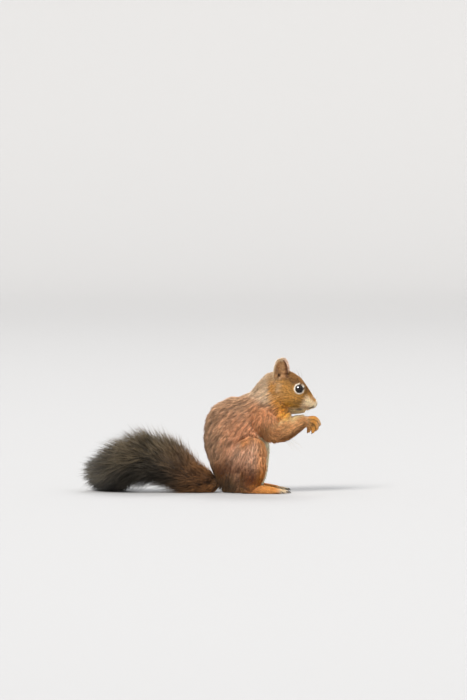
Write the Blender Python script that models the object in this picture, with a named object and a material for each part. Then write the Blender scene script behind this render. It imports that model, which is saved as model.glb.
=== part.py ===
"""A red squirrel sitting up with its forepaws at its mouth, life size, as a still model.

Every named part is one closed solid that reaches out to the tips of the coat.  The animal
faces +X with its left side towards +Y, and sits on the floor z = 0.  Sizes are millimetres
in the tables below and become metres in the meshes.
"""
import math

import bmesh
import bpy
import numpy as np
from mathutils import Matrix, Vector

MM = 0.001
GAP = 0.3                 # left between a part and its neighbour
SIDES = (("right", -1), ("left", 1))
DOME_BENDS = np.array([30.0, 60.0]) * math.pi / 180      # where the rings of a rounded end lie

# ---------------------------------------------------------------- driving dimensions
# A row of a body part is x, y, z of its middle, half its depth and half its width.
# Depth is measured across the path in the body's own plane, width towards the sides.
TRUNK = [
    (12.0, 0, 5.0, 20.5, 19.0),      # seat
    (12.8, 0, 13.5, 25.6, 24.0),     # hips
    (12.9, 0, 24.0, 29.3, 26.5),
    (11.2, 0, 42.5, 33.2, 27.5),     # belly
    (9.2, 0, 59.0, 35.0, 27.0),
    (15.8, 0, 76.5, 32.0, 25.0),     # ribs
    (30.6, 0, 86.6, 20.2, 21.5),     # shoulders
    (45.2, 0, 94.8, 22.5, 19.3),
    (53.2, 0, 104.4, 19.8, 17.0),    # neck, running into the head
]
NECK_FROM = 104.0         # distance along the trunk's path where the neck starts
SEAT_DOME = 0.35          # roundness of the seat

TAIL = [
    (-9.0, 0, 12.0, 9.5, 9.5),       # root
    (-21.0, 0, 11.0, 11.3, 12.0),
    (-32.5, 0, 13.0, 14.0, 16.0),
    (-43.5, 0, 18.5, 18.0, 20.0),
    (-58.5, 0, 28.0, 23.0, 24.0),
    (-74.5, 1, 34.0, 26.8, 26.5),    # top of the arch
    (-92.4, 2, 35.0, 28.5, 27.0),
    (-109.5, 6, 28.5, 26.5, 26.5),
    (-121.0, 18, 21.0, 25.5, 25.0),  # down to the floor
    (-127.5, 35, 16.5, 22.5, 22.0),
    (-126.0, 52, 12.0, 16.0, 16.5),  # end, laid along the floor
]
TAIL_LENGTHS = 5
TAIL_TIP = 13.0           # how far the hairs run on past the last row

HEAD_AT = (52.7, 0, 109.8)           # middle of the skull, where the head turns
HEAD_NOSE_DOWN = 25.0
HEAD_TURN = 5.0                      # degrees towards its own right side
# distance forward, top and bottom of the profile, half its width
HEAD = [
    (-11.0, 12.6, -16.5, 14.0),
    (-5.0, 17.8, -19.5, 16.5),
    (3.0, 21.2, -20.5, 17.8),
    (11.0, 20.8, -20.3, 17.6),
    (18.5, 18.6, -18.8, 15.6),       # eyes
    (25.0, 15.4, -15.6, 12.6),
    (30.5, 12.3, -12.4, 9.8),
    (36.0, 9.0, -8.8, 7.7),          # lips
    (40.5, 6.2, -5.4, 6.0),
    (42.8, 4.6, -3.8, 4.6),          # nose
]
EYE_AT = (20.6, 10.7, 8.9)           # forward, sideways, up, from the middle of the skull
EYE_RADIUS = 4.8

EAR_AT = (-1.2, 12.6, 9.5)           # middle of its root
EAR_HEIGHT = 21.8
EAR_WIDTH = 17.0
EAR_CUP = 4.4                        # depth of the hollow
EAR_WALL = 1.3
EAR_LEAN = 21.0                      # degrees back from the head's own upright
EAR_SPLAY = 9.0                      # outward
EAR_FACE = 25.0                      # its hollow faces sideways and this much forward
EAR_BELOW = 0.30                     # how much of its height is set into the head

UPPER_ARM = [
    (33.0, 13.5, 86.0, 12.0, 8.0),   # shoulder
    (38.5, 17.0, 75.0, 13.5, 8.5),
    (45.5, 19.0, 63.8, 11.3, 8.0),   # elbow
]
FOREARM = [
    (47.0, 19.0, 62.8, 10.4, 7.6),   # elbow
    (56.5, 17.5, 65.0, 11.6, 7.8),
    (65.5, 14.5, 68.6, 10.3, 7.2),
    (73.0, 11.0, 72.3, 8.4, 6.0),
    (79.0, 8.0, 74.8, 6.6, 4.8),     # wrist
]
PALM = [(79.0, 7.6, 74.6, 5.4, 4.2), (83.0, 6.8, 74.6, 5.2, 4.0), (87.0, 6.0, 73.8, 4.2, 3.2)]
# fingers: x, y, z, half thickness, from the knuckle to the end of the claw
FINGERS = [
    [(85.0, 6.0, 77.0, 2.3), (90.0, 5.6, 77.6, 2.25), (94.0, 4.6, 75.0, 2.0), (95.6, 3.6, 72.0, 1.6),
     (95.8, 3.0, 70.5, 0.7), (95.2, 2.6, 69.0, 0.25)],
    [(85.0, 6.6, 75.0, 2.3), (90.0, 6.8, 74.0, 2.2), (93.0, 5.8, 70.5, 2.0), (93.0, 4.6, 67.3, 1.6),
     (92.6, 4.0, 65.8, 0.7), (91.8, 3.6, 64.3, 0.25)],
    [(84.0, 6.8, 73.0, 2.3), (87.8, 7.0, 70.8, 2.2), (89.6, 6.0, 67.0, 1.9), (89.0, 4.8, 64.2, 1.5),
     (88.4, 4.2, 62.9, 0.65), (87.4, 3.8, 61.6, 0.25)],
    [(82.5, 6.6, 71.5, 2.1), (84.4, 6.6, 69.2, 2.0), (85.0, 5.6, 66.4, 1.8), (84.3, 4.6, 64.4, 1.4),
     (83.8, 4.1, 63.4, 0.6), (82.9, 3.7, 62.4, 0.25)],
]

THIGH = [
    (-2.0, 14.0, 31.0, 15.0, 10.0),  # hip
    (8.0, 18.0, 36.0, 17.5, 12.0),
    (18.0, 20.0, 41.0, 18.5, 12.5),
    (25.5, 20.5, 44.2, 18.0, 11.5),  # knee
]
SHIN = [
    (25.5, 22.5, 38.0, 14.5, 9.5),
    (26.0, 24.0, 27.0, 14.0, 9.2),
    (24.0, 24.5, 15.0, 12.0, 8.3),
    (21.5, 24.0, 8.0, 9.0, 7.0),     # ankle
]
FOOT = [
    (17.0, 23.5, 4.5, 5.5, 4.8),     # heel
    (26.0, 24.0, 4.4, 6.0, 5.4),
    (36.0, 25.0, 3.6, 5.4, 6.0),
    (45.0, 25.8, 2.9, 4.6, 6.6),
    (51.5, 26.4, 2.4, 3.8, 6.4),     # ball
]
TOE_ROOT_X = 49.0
TOE_LENGTHS = (8.5, 12.5, 14.0, 13.0, 8.0)       # from the inner toe to the outer
TOE_SPREAD = 2.75                                # between neighbours at their roots
TOE_FAN = math.radians(5.0)                      # turned outward from one to the next
TOE_THICK = 1.95
CLAW_LENGTH = 3.0

COLOURS = {
    "coat_red": (0.30, 0.115, 0.036), "coat_orange": (0.46, 0.20, 0.06), "coat_tail": (0.05, 0.036, 0.026),
    "ear_skin": (0.30, 0.17, 0.10), "eye_dark": (0.01, 0.009, 0.008),
}
ROUGHNESS = {"coat_red": 0.8, "coat_orange": 0.8, "coat_tail": 0.8, "ear_skin": 0.7, "eye_dark": 0.06}


# ---------------------------------------------------------------- shapes
def along(rows):
    """Distance along the path at each row."""
    steps = np.linalg.norm(np.diff(rows[:, :3], axis=0), axis=1)
    return np.concatenate([[0.0], np.cumsum(steps)])


def read_rows(rows, at):
    """Rows at the distances `at`: a cubic curve through the given rows with smooth slopes."""
    knots = along(rows)
    slopes = np.gradient(rows, knots, axis=0)
    first = np.clip(np.searchsorted(knots, at, side="right") - 1, 0, len(knots) - 2)
    length = (knots[first + 1] - knots[first])[:, None]
    t = (at - knots[first])[:, None] / length
    return ((1 + 2 * t) * (1 - t) ** 2 * rows[first] + t * (1 - t) ** 2 * length * slopes[first]
            + t * t * (3 - 2 * t) * rows[first + 1] + t * t * (t - 1) * length * slopes[first + 1])


def path_frames(rows, at):
    """The path's direction, and a sideways direction carried along it without twist."""
    step = 0.05
    ahead = read_rows(rows, at + step)[:, :3] - read_rows(rows, at - step)[:, :3]
    ahead /= np.linalg.norm(ahead, axis=1)[:, None]
    sideways = np.empty_like(ahead)
    last = np.array([0.0, 1.0, 0.0])
    for i, forward in enumerate(ahead):
        last = last - forward * np.dot(last, forward)
        last /= np.linalg.norm(last)
        sideways[i] = last
    return ahead, sideways


def tube(rows, sides, rings, domes=(1.0, 1.0), span=None, grow=0.0):
    """Vertices and faces of a closed tube: an ellipse carried along a path.

    domes gives each end's roundness as a share of its radius, 0 for a flat end.
    span keeps only that stretch of the path.  grow makes the whole tube that much fatter.
    """
    rows = np.asarray(rows, dtype=float)
    start, end = span or (0.0, along(rows)[-1])
    reach = [share * (row[3] + row[4]) / 2 + (grow if share else 0.0)
             for share, row in zip(domes, read_rows(rows, np.array([start, end])))]
    bends = [DOME_BENDS if share else DOME_BENDS[:0] for share in domes]
    at = np.concatenate([bends[0] * 0 + start, np.linspace(start, end, rings), bends[1] * 0 + end])
    out = np.concatenate([-reach[0] * np.sin(bends[0][::-1]), np.zeros(rings), reach[1] * np.sin(bends[1])])
    shrink = np.concatenate([np.cos(bends[0][::-1]), np.ones(rings), np.cos(bends[1])])
    read = read_rows(rows, at)
    ahead, sideways = path_frames(rows, at)
    upward = np.cross(ahead, sideways)
    angle = np.arange(sides) * (2 * math.pi / sides)
    depth = np.outer((read[:, 3] + grow) * shrink, np.sin(angle))[:, :, None] * upward[:, None, :]
    width = np.outer((read[:, 4] + grow) * shrink, np.cos(angle))[:, :, None] * sideways[:, None, :]
    ring = (read[:, :3] + out[:, None] * ahead)[:, None, :] + depth + width
    ends = read[[0, -1], :3] + np.array([[-reach[0]], [reach[1]]]) * ahead[[0, -1]]
    return closed_grid(ring, ends)


def closed_grid(ring, poles):
    """Vertices and faces of rings of points, closed by a pole at each end."""
    count, sides = ring.shape[:2]
    points = np.vstack([ring.reshape(-1, 3), poles])
    index = np.arange(count * sides).reshape(count, sides)
    turned = np.roll(index, -1, axis=1)
    faces = list(zip(index[:-1].ravel(), turned[:-1].ravel(), turned[1:].ravel(), index[1:].ravel()))
    low, high = count * sides, count * sides + 1
    faces += [(low, b, a) for a, b in zip(index[0], turned[0])]
    faces += [(high, a, b) for a, b in zip(index[-1], turned[-1])]
    return points, faces


def thick_sheet(front, back):
    """Vertices and faces of a closed sheet: two grids of points joined all round their edges."""
    rows, columns = front.shape[:2]
    points = np.vstack([front.reshape(-1, 3), back.reshape(-1, 3)])
    near = np.arange(rows * columns).reshape(rows, columns)
    far = near + rows * columns
    faces = []
    for sheet in (near, far[:, ::-1]):
        corners = sheet[:-1, :-1], sheet[:-1, 1:], sheet[1:, 1:], sheet[1:, :-1]
        faces += zip(*(corner.ravel() for corner in corners))
    for edge in (np.s_[0, :], np.s_[::-1, 0], np.s_[-1, ::-1], np.s_[:, -1]):
        a, b = near[edge], far[edge]
        faces += zip(a[:-1], b[:-1], b[1:], a[1:])
    return points, faces


def mirrored(rows, side):
    """Rows of a paired part, on the asked side of the body."""
    rows = np.array(rows, dtype=float)
    rows[:, 1] *= side
    return rows


def head_matrix():
    """Where the head's own frame (forward, left, up) lies in the body's."""
    return (Matrix.Translation(HEAD_AT) @ Matrix.Rotation(math.radians(-HEAD_TURN), 4, "Z")
            @ Matrix.Rotation(math.radians(HEAD_NOSE_DOWN), 4, "Y"))


def in_head(points):
    """Points of the head's own frame, in the body's."""
    matrix = np.array(head_matrix())
    return np.asarray(points, dtype=float) @ matrix[:3, :3].T + matrix[:3, 3]


def head_tube(grow=0.0):
    """The head: a tube from the back of the skull to the nose, then turned into place."""
    rows = [(a, 0, (top + low) / 2, (top - low) / 2, half) for a, top, low, half in HEAD]
    points, faces = tube(rows, 20, 12, domes=(0.5, 0.45), grow=grow)
    return in_head(points), faces


def ear_sheet(side):
    """A pointed leaf, hollowed towards the side, with a wall of even thickness.

    Across the leaf u runs from -1 at its rear edge to 1 at the front, and v from 0 at the
    root to 1 at the tip.  The half width is that of an ellipse cut short below and pointed
    above; the hollow is deepest in the middle and runs out at the tip.
    """
    uu, vv = np.meshgrid(np.linspace(-1, 1, 7), np.linspace(-EAR_BELOW, 1, 9))
    lift = np.clip(vv, 0, 1)
    half = EAR_WIDTH / 2 * np.sqrt(np.clip(1 - lift ** 2.2, 0, 1)) * (0.86 + 0.30 * lift) + 0.5
    edge = math.radians(78)
    bend = uu * edge
    across = half * np.sin(bend) / math.sin(edge)
    inward = EAR_CUP * (1 - 0.75 * lift) * (np.cos(bend) - 0.35)
    turn = (Matrix.Rotation(math.radians(-EAR_LEAN), 3, "Y")
            @ Matrix.Rotation(math.radians(-EAR_SPLAY), 3, "X")
            @ Matrix.Rotation(math.radians(-EAR_FACE), 3, "Z"))
    leaf = np.stack([across, -inward, EAR_HEIGHT * vv], axis=-1) @ np.array(turn).T
    leaf += EAR_AT
    leaf[..., 1] *= side
    normal = np.cross(np.gradient(leaf, axis=1), np.gradient(leaf, axis=0))
    normal *= EAR_WALL / 2 / np.linalg.norm(normal, axis=2)[:, :, None]
    points, faces = thick_sheet(leaf + normal, leaf - normal)
    return in_head(points), faces


def ball(centre, radius, sides=14, rings=7):
    """A round ball as rings between two poles."""
    tilt = np.linspace(0, math.pi, rings + 1)[1:-1]
    turn = np.arange(sides) * (2 * math.pi / sides)
    ring = np.stack([np.outer(np.sin(tilt), np.cos(turn)), np.outer(np.sin(tilt), np.sin(turn)),
                     np.outer(np.cos(tilt), np.ones(sides))], axis=-1) * radius + np.array(centre)
    poles = np.array([[0, 0, radius], [0, 0, -radius]]) + np.array(centre)
    return closed_grid(ring, poles)


def toe_rows(number, side):
    """One toe: from inside the ball of the foot, down to its pad, and on as its claw."""
    length = TOE_LENGTHS[number]
    place = number - 2
    turn = place * TOE_FAN + math.radians(3.0)
    root = np.array([TOE_ROOT_X - 0.9 * abs(place), 26.0 + place * TOE_SPREAD, 2.4])
    ahead = np.array([math.cos(turn), math.sin(turn), 0.0])
    rows = []
    for reach, z, half in ((0.0, 2.6, TOE_THICK), (0.45 * length, 3.2, TOE_THICK * 0.95),
                           (0.8 * length, 2.2, TOE_THICK * 0.92), (length, 1.9, TOE_THICK * 0.7),
                           (length + CLAW_LENGTH * 0.4, 1.9, 0.7), (length + CLAW_LENGTH, 0.8, 0.25)):
        x, y, _ = root + ahead * reach
        rows.append((x, y * side, z, half, half * 0.72))
    return rows


# ---------------------------------------------------------------- objects
def add_object(name, shape):
    """A mesh object from points in millimetres, with its faces turned outwards."""
    points, faces = shape
    mesh = bpy.data.meshes.new(name)
    mesh.from_pydata((np.asarray(points) * MM).tolist(), [], [tuple(int(i) for i in f) for f in faces])
    work = bmesh.new()
    work.from_mesh(mesh)
    bmesh.ops.triangulate(work, faces=work.faces[:])
    if work.calc_volume(signed=True) < 0:
        bmesh.ops.reverse_faces(work, faces=work.faces[:])
    work.to_mesh(mesh)
    work.free()
    obj = bpy.data.objects.new(name, mesh)
    bpy.context.scene.collection.objects.link(obj)
    return obj


def add_cutter(name, shape):
    """An object that only cuts others."""
    obj = add_object(name, shape)
    obj.hide_render = True
    obj.display_type = "WIRE"
    return obj


def combine(obj, other, operation):
    """A live Boolean between two objects."""
    modifier = obj.modifiers.new(f"{operation.lower()} {other.name}", "BOOLEAN")
    modifier.operation = operation
    modifier.solver = "EXACT"
    modifier.object = other


def cut(obj, *cutters):
    for cutter in cutters:
        combine(obj, cutter, "DIFFERENCE")


def join_to(obj, shapes):
    """Small shapes united with the object that they grow from."""
    for number, shape in enumerate(shapes):
        combine(obj, add_cutter(f"{obj.name}_piece_{number}", shape), "UNION")


def material(slot):
    found = bpy.data.materials.get(slot)
    if found:
        return found
    made = bpy.data.materials.new(slot)
    made.use_nodes = True
    shader = made.node_tree.nodes["Principled BSDF"]
    shader.inputs["Base Color"].default_value = (*COLOURS[slot], 1.0)
    shader.inputs["Roughness"].default_value = ROUGHNESS[slot]
    shader.inputs["Metallic"].default_value = 0.0
    return made


def finish(obj, slot):
    obj.data.materials.append(material(slot))
    return obj


def clear_scene():
    for obj in list(bpy.data.objects):
        bpy.data.objects.remove(obj, do_unlink=True)


def make_floor_cutter():
    """A thick slab that takes away all that is below the floor."""
    mesh = bpy.data.meshes.new("below_floor")
    slab = bmesh.new()
    depth = 0.1
    bmesh.ops.create_cube(slab, size=1.0)
    bmesh.ops.scale(slab, vec=(1.0, 1.0, depth), verts=slab.verts)
    bmesh.ops.translate(slab, vec=(0.0, 0.0, -depth / 2), verts=slab.verts)
    slab.to_mesh(mesh)
    slab.free()
    floor = bpy.data.objects.new("below_floor", mesh)
    floor.hide_render = True
    floor.display_type = "WIRE"
    bpy.context.scene.collection.objects.link(floor)
    return floor


def make_trunk_and_neck():
    """One tube, parted where the neck starts, and the shape that cuts its neighbours."""
    rows = np.array(TRUNK, dtype=float)
    end = along(rows)[-1]
    trunk = add_object("trunk", tube(rows, 18, 12, domes=(SEAT_DOME, 0), span=(0.0, NECK_FROM - GAP / 2)))
    neck = add_object("neck", tube(rows, 18, 3, domes=(0, 0), span=(NECK_FROM + GAP / 2, end)))
    around = add_cutter("around_trunk", tube(rows, 18, 13, domes=(SEAT_DOME, 0), grow=GAP))
    return trunk, neck, around


def make_tail(around_trunk, floor):
    """The brush in a few lengths, with its underside and its end lying on the floor."""
    rows = np.array(TAIL, dtype=float)
    ends = np.linspace(0, along(rows)[-1], TAIL_LENGTHS + 1)
    tip = TAIL_TIP / np.mean(rows[-1, 3:5])
    lengths = []
    for number in range(TAIL_LENGTHS):
        first, last = number == 0, number == TAIL_LENGTHS - 1
        span = (ends[number] + (0 if first else GAP / 2), ends[number + 1] - (0 if last else GAP / 2))
        piece = add_object(f"tail_{number + 1}", tube(rows, 16, 4, domes=(0, tip if last else 0), span=span))
        if first:
            cut(piece, around_trunk)
        cut(piece, floor)
        lengths.append(piece)
    return lengths


def limb_piece(name, rows, sides, rings, domes):
    """A piece of a limb, and the slightly fatter copy that cuts its neighbours."""
    piece = add_object(name, tube(rows, sides, rings, domes=domes))
    return piece, add_cutter(f"around_{name}", tube(rows, sides, rings, domes=domes, grow=GAP))


def make_front_leg(name, side):
    """Upper arm, forearm and paw, with the shapes that cut their neighbours."""
    upper, around_upper = limb_piece(f"upper_arm_{name}", mirrored(UPPER_ARM, side), 12, 4, (1, 1))
    fore, around_fore = limb_piece(f"forearm_{name}", mirrored(FOREARM, side), 12, 5, (0.8, 0.3))
    cut(fore, around_upper)
    paw = add_object(f"forepaw_{name}", tube(mirrored(PALM, side), 10, 3))
    join_to(paw, [tube([(x, y * side, z, half, half) for x, y, z, half in finger], 6, 6, domes=(0.7, 0))
                  for finger in FINGERS])
    cut(paw, around_fore)
    return (upper, fore, paw), (around_upper, around_fore)


def make_hind_leg(name, side, floor):
    """Thigh, shin and foot, with the shapes that cut their neighbours."""
    thigh, around_thigh = limb_piece(f"thigh_{name}", mirrored(THIGH, side), 14, 4, (0.9, 0.95))
    shin, around_shin = limb_piece(f"shin_{name}", mirrored(SHIN, side), 12, 4, (0.9, 0.4))
    foot, around_foot = limb_piece(f"hind_foot_{name}", mirrored(FOOT, side), 12, 4, (0.6, 0.5))
    join_to(foot, [tube(toe_rows(number, side), 6, 5, domes=(0.7, 0)) for number in range(len(TOE_LENGTHS))])
    cut(foot, around_shin, floor)
    cut(shin, around_thigh, floor)
    cut(thigh, around_foot)
    return (thigh, shin, foot), (around_thigh, around_shin, around_foot)


def make_head():
    """The head with its eyes set in pockets and its ears trimmed to it."""
    head = add_object("head", head_tube())
    around_head = add_cutter("around_head", head_tube(grow=GAP))
    parts = [finish(head, "coat_red")]
    for name, side in SIDES:
        forward, sideways, up = EYE_AT
        centre = in_head([(forward, sideways * side, up)])[0]
        parts.append(finish(add_object(f"eye_{name}", ball(centre, EYE_RADIUS)), "eye_dark"))
        cut(head, add_cutter(f"around_eye_{name}", ball(centre, EYE_RADIUS + GAP)))
        ear = finish(add_object(f"ear_{name}", ear_sheet(side)), "ear_skin")
        cut(ear, around_head)
        parts.append(ear)
    return parts, around_head


def centre_on_floor(objects):
    """Moves everything so that the origin is below the middle of the box round the object."""
    bpy.context.view_layer.update()
    graph = bpy.context.evaluated_depsgraph_get()
    low, high = Vector((1e9, 1e9, 1e9)), Vector((-1e9, -1e9, -1e9))
    for obj in objects:
        for vertex in obj.evaluated_get(graph).data.vertices:
            point = obj.matrix_world @ vertex.co
            low = Vector(map(min, low, point))
            high = Vector(map(max, high, point))
    shift = Vector((-(low.x + high.x) / 2, -(low.y + high.y) / 2, -low.z))
    for obj in bpy.data.objects:
        obj.location = obj.location + shift
    return shift, high - low


def build():
    clear_scene()
    floor = make_floor_cutter()
    trunk, neck, around_trunk = make_trunk_and_neck()
    objects, around_head = make_head()
    cut(neck, around_head)
    cut(trunk, around_head)
    for name, side in SIDES:
        (upper, fore, paw), around_arm = make_front_leg(name, side)
        (thigh, shin, foot), around_leg = make_hind_leg(name, side, floor)
        cut(trunk, *around_arm, *around_leg)
        cut(neck, *around_arm)
        cut(upper, around_head)
        objects += [finish(piece, "coat_red") for piece in (upper, thigh, shin)]
        objects += [finish(piece, "coat_orange") for piece in (fore, paw, foot)]
    cut(trunk, floor)
    objects += [finish(trunk, "coat_red"), finish(neck, "coat_red")]
    objects += [finish(piece, "coat_tail") for piece in make_tail(around_trunk, floor)]
    shift, size = centre_on_floor(objects)
    print("moved by", [round(v / MM, 2) for v in shift], "mm, size", [round(v / MM, 1) for v in size], "mm")


build()
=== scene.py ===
# %% [markdown]
# # A red squirrel, sitting up
#
# The animal is a museum-type still model.  One closed skin is made first, a coat's depth
# inside the CAD solids.  Eyes, claws and whiskers are pieces of their own, and the coat is a
# great many thin tapered tufts that stand on the skin and follow the lie of the hair.
# All of the shaping is done in millimetres, in the plan of the body that the CAD solids were
# made from, and is moved to the shared frame when a mesh is made.

import math

import bpy
import numpy as np
from mathutils import Matrix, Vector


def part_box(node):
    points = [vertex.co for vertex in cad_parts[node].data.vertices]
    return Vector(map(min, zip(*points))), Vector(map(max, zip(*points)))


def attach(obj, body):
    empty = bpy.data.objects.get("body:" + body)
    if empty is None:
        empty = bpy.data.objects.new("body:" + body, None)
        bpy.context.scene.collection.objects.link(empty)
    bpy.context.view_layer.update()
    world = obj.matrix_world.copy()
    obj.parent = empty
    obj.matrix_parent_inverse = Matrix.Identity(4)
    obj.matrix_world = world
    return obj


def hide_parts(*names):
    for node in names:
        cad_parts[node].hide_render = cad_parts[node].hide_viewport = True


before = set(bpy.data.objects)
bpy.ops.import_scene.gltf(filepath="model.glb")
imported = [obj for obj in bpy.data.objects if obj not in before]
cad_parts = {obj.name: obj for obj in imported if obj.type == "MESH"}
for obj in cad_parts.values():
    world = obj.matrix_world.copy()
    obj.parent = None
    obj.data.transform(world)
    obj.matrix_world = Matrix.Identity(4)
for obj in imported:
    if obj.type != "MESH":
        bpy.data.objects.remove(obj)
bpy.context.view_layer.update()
MM = 0.001

# %% [markdown]
# ## The body's plan
#
# Each part of the body is a path with an oval section: a row gives the middle of a section and
# half its depth and width, out to the tips of the hair.  They are the sizes of the CAD solids.

# %% Paths and sections
# x, y, z, half depth, half width; paired parts are given for the left side
TRUNK = [(12, 0, 5, 20.5, 19), (12.8, 0, 13.5, 25.6, 24), (12.9, 0, 24, 29.3, 26.5),
         (11.2, 0, 42.5, 33.2, 27.5), (9.2, 0, 59, 35, 27), (15.8, 0, 76.5, 32, 25),
         (30.6, 0, 86.6, 20.2, 21.5), (45.2, 0, 94.8, 22.5, 19.3), (53.2, 0, 104.4, 19.8, 17)]
TAIL = [(-9, 0, 12, 9.5, 9.5), (-21, 0, 11, 11.3, 12), (-32.5, 0, 13, 14, 16),
        (-43.5, 0, 18.5, 18, 20), (-58.5, 0, 28, 23, 24), (-74.5, 1, 34, 26.8, 26.5),
        (-92.4, 2, 35, 28.5, 27), (-109.5, 6, 28.5, 26.5, 26.5), (-121, 18, 21, 25.5, 25),
        (-127.5, 35, 16.5, 22.5, 22), (-126, 52, 12, 16, 16.5)]
UPPER_ARM = [(33, 13.5, 86, 12, 8), (38.5, 17, 75, 13.5, 8.5), (45.5, 19, 63.8, 11.3, 8)]
FOREARM = [(47, 19, 62.8, 10.4, 7.6), (56.5, 17.5, 65, 11.6, 7.8), (65.5, 14.5, 68.6, 10.3, 7.2),
           (73, 11, 72.3, 8.4, 6), (79, 8, 74.8, 6.6, 4.8)]
PALM = [(79, 7.6, 74.6, 5.4, 4.2), (83, 6.8, 74.6, 5.2, 4), (87, 6, 73.8, 4.2, 3.2)]
# x, y, z and half thickness of a finger, from knuckle to nail
FINGERS = [
    [(85, 6, 77, 2.3), (90, 5.6, 77.6, 2.25), (94, 4.6, 75, 2), (95.6, 3.6, 72, 1.6)],
    [(85, 6.6, 75, 2.3), (90, 6.8, 74, 2.2), (93, 5.8, 70.5, 2), (93, 4.6, 67.3, 1.6)],
    [(84, 6.8, 73, 2.3), (87.8, 7, 70.8, 2.2), (89.6, 6, 67, 1.9), (89, 4.8, 64.2, 1.5)],
    [(82.5, 6.6, 71.5, 2.1), (84.4, 6.6, 69.2, 2), (85, 5.6, 66.4, 1.8), (84.3, 4.6, 64.4, 1.4)],
]
NAILS = [
    [(95.7, 3.4, 71.6, 1.1), (95.8, 3, 70.5, 0.75), (95.2, 2.6, 69, 0.25)],
    [(92.9, 4.4, 66.9, 1.1), (92.6, 4, 65.8, 0.75), (91.8, 3.6, 64.3, 0.25)],
    [(88.8, 4.6, 63.9, 1.05), (88.4, 4.2, 62.9, 0.7), (87.4, 3.8, 61.6, 0.25)],
    [(84.1, 4.4, 64, 1.0), (83.8, 4.1, 63.4, 0.65), (82.9, 3.7, 62.4, 0.25)],
]
THIGH = [(-2, 14, 31, 15, 10), (8, 18, 36, 17.5, 12), (18, 20, 41, 18.5, 12.5),
         (25.5, 20.5, 44.2, 18, 11.5)]
SHIN = [(25.5, 22.5, 38, 14.5, 9.5), (26, 24, 27, 14, 9.2), (24, 24.5, 15, 12, 8.3),
        (21.5, 24, 8, 9, 7)]
FOOT = [(17, 23.5, 4.5, 5.5, 4.8), (26, 24, 4.4, 6, 5.4), (36, 25, 3.6, 5.4, 6),
        (45, 25.8, 2.9, 4.6, 6.6), (51.5, 26.4, 2.4, 3.8, 6.4)]
TOE_LENGTHS = (8.5, 12.5, 14, 13, 8)
TOE_ROOT_X, TOE_SPREAD, TOE_FAN, TOE_THICK, CLAW_LENGTH = 49, 2.75, math.radians(5), 1.95, 3.0

# in the head's own frame: forward, top and bottom of the profile, half width
HEAD = [(-11, 12.6, -16.5, 14), (-5, 17.8, -19.5, 16.5), (3, 21.2, -20.5, 17.8),
        (11, 20.8, -20.3, 17.6), (18.5, 18.6, -18.8, 15.6), (25, 15.4, -15.6, 12.6),
        (30.5, 12.3, -12.4, 9.8), (36, 9, -8.8, 7.7), (40.5, 6.2, -5.4, 6), (42.8, 4.6, -3.8, 4.6)]
HEAD_AT = (52.7, 0, 109.8)
HEAD_NOSE_DOWN, HEAD_TURN = math.radians(25), math.radians(5)
EYE_AT = np.array([20.6, 10.7, 8.9])
EYE_RADIUS = 4.8
EAR_AT = np.array([-1.2, 12.6, 9.5])
EAR_HEIGHT, EAR_WIDTH, EAR_CUP, EAR_BELOW, EAR_WALL = 21.8, 17.0, 4.4, 0.30, 1.9
EAR_LEAN, EAR_SPLAY, EAR_FACE = math.radians(21), math.radians(9), math.radians(25)
SIDES = (("right", -1), ("left", 1))
print("sections: trunk", len(TRUNK), " head", len(HEAD), " tail", len(TAIL))

# %% Frames of the head and the ears
head_matrix = np.array(Matrix.Translation(HEAD_AT) @ Matrix.Rotation(-HEAD_TURN, 4, "Z")
                       @ Matrix.Rotation(HEAD_NOSE_DOWN, 4, "Y"))
ear_turn = np.array(Matrix.Rotation(-EAR_LEAN, 3, "Y") @ Matrix.Rotation(-EAR_SPLAY, 3, "X")
                    @ Matrix.Rotation(-EAR_FACE, 3, "Z"))


def from_head(points):
    """Points of the head's own frame, in the body's plan."""
    return points @ head_matrix[:3, :3].T + head_matrix[:3, 3]


def to_head(points):
    """Points of the body's plan, in the head's own frame: forward, left, up."""
    return (points - head_matrix[:3, 3]) @ head_matrix[:3, :3]


def to_ear(local, side):
    """Points of the head's frame in an ear's: across it, through it, up to its tip."""
    return (local * (1, side, 1) - EAR_AT) @ ear_turn


low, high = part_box("eye_right")
SHIFT = np.array(low + high) / 2 / MM - from_head(EYE_AT * (1, -1, 1))
print("the plan lies at", SHIFT.round(2), "mm in the shared frame")

# %% [markdown]
# ## Tubes along paths
#
# A limb, the trunk and the tail are all tubes: an oval carried along a smooth path.  A cubic
# curve through the rows gives the sections between them, and a sideways arrow that is carried
# along the path without twist keeps the oval from turning.


# %% Reading a path
def along(rows):
    """Distance along the path at each row."""
    steps = np.linalg.norm(np.diff(rows[:, :3], axis=0), axis=1)
    return np.concatenate([[0.0], np.cumsum(steps)])


def read_rows(rows, at):
    """Rows at the distances `at`: a cubic curve through the given rows with smooth slopes."""
    knots = along(rows)
    slopes = np.gradient(rows, knots, axis=0)
    first = np.clip(np.searchsorted(knots, at, side="right") - 1, 0, len(knots) - 2)
    length = (knots[first + 1] - knots[first])[:, None]
    t = (at - knots[first])[:, None] / length
    return ((1 + 2 * t) * (1 - t) ** 2 * rows[first] + t * (1 - t) ** 2 * length * slopes[first]
            + t * t * (3 - 2 * t) * rows[first + 1] + t * t * (t - 1) * length * slopes[first + 1])


def path_frames(rows, at):
    """The path's direction, the untwisted sideways arrow and the one square to both."""
    ahead = read_rows(rows, at + 0.05)[:, :3] - read_rows(rows, at - 0.05)[:, :3]
    ahead /= np.linalg.norm(ahead, axis=1)[:, None]
    sideways = np.empty_like(ahead)
    last = np.array([0.0, 1.0, 0.0])
    for i, forward in enumerate(ahead):
        last = last - forward * np.dot(last, forward)
        last /= np.linalg.norm(last)
        sideways[i] = last
    return ahead, sideways, np.cross(ahead, sideways)


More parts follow.
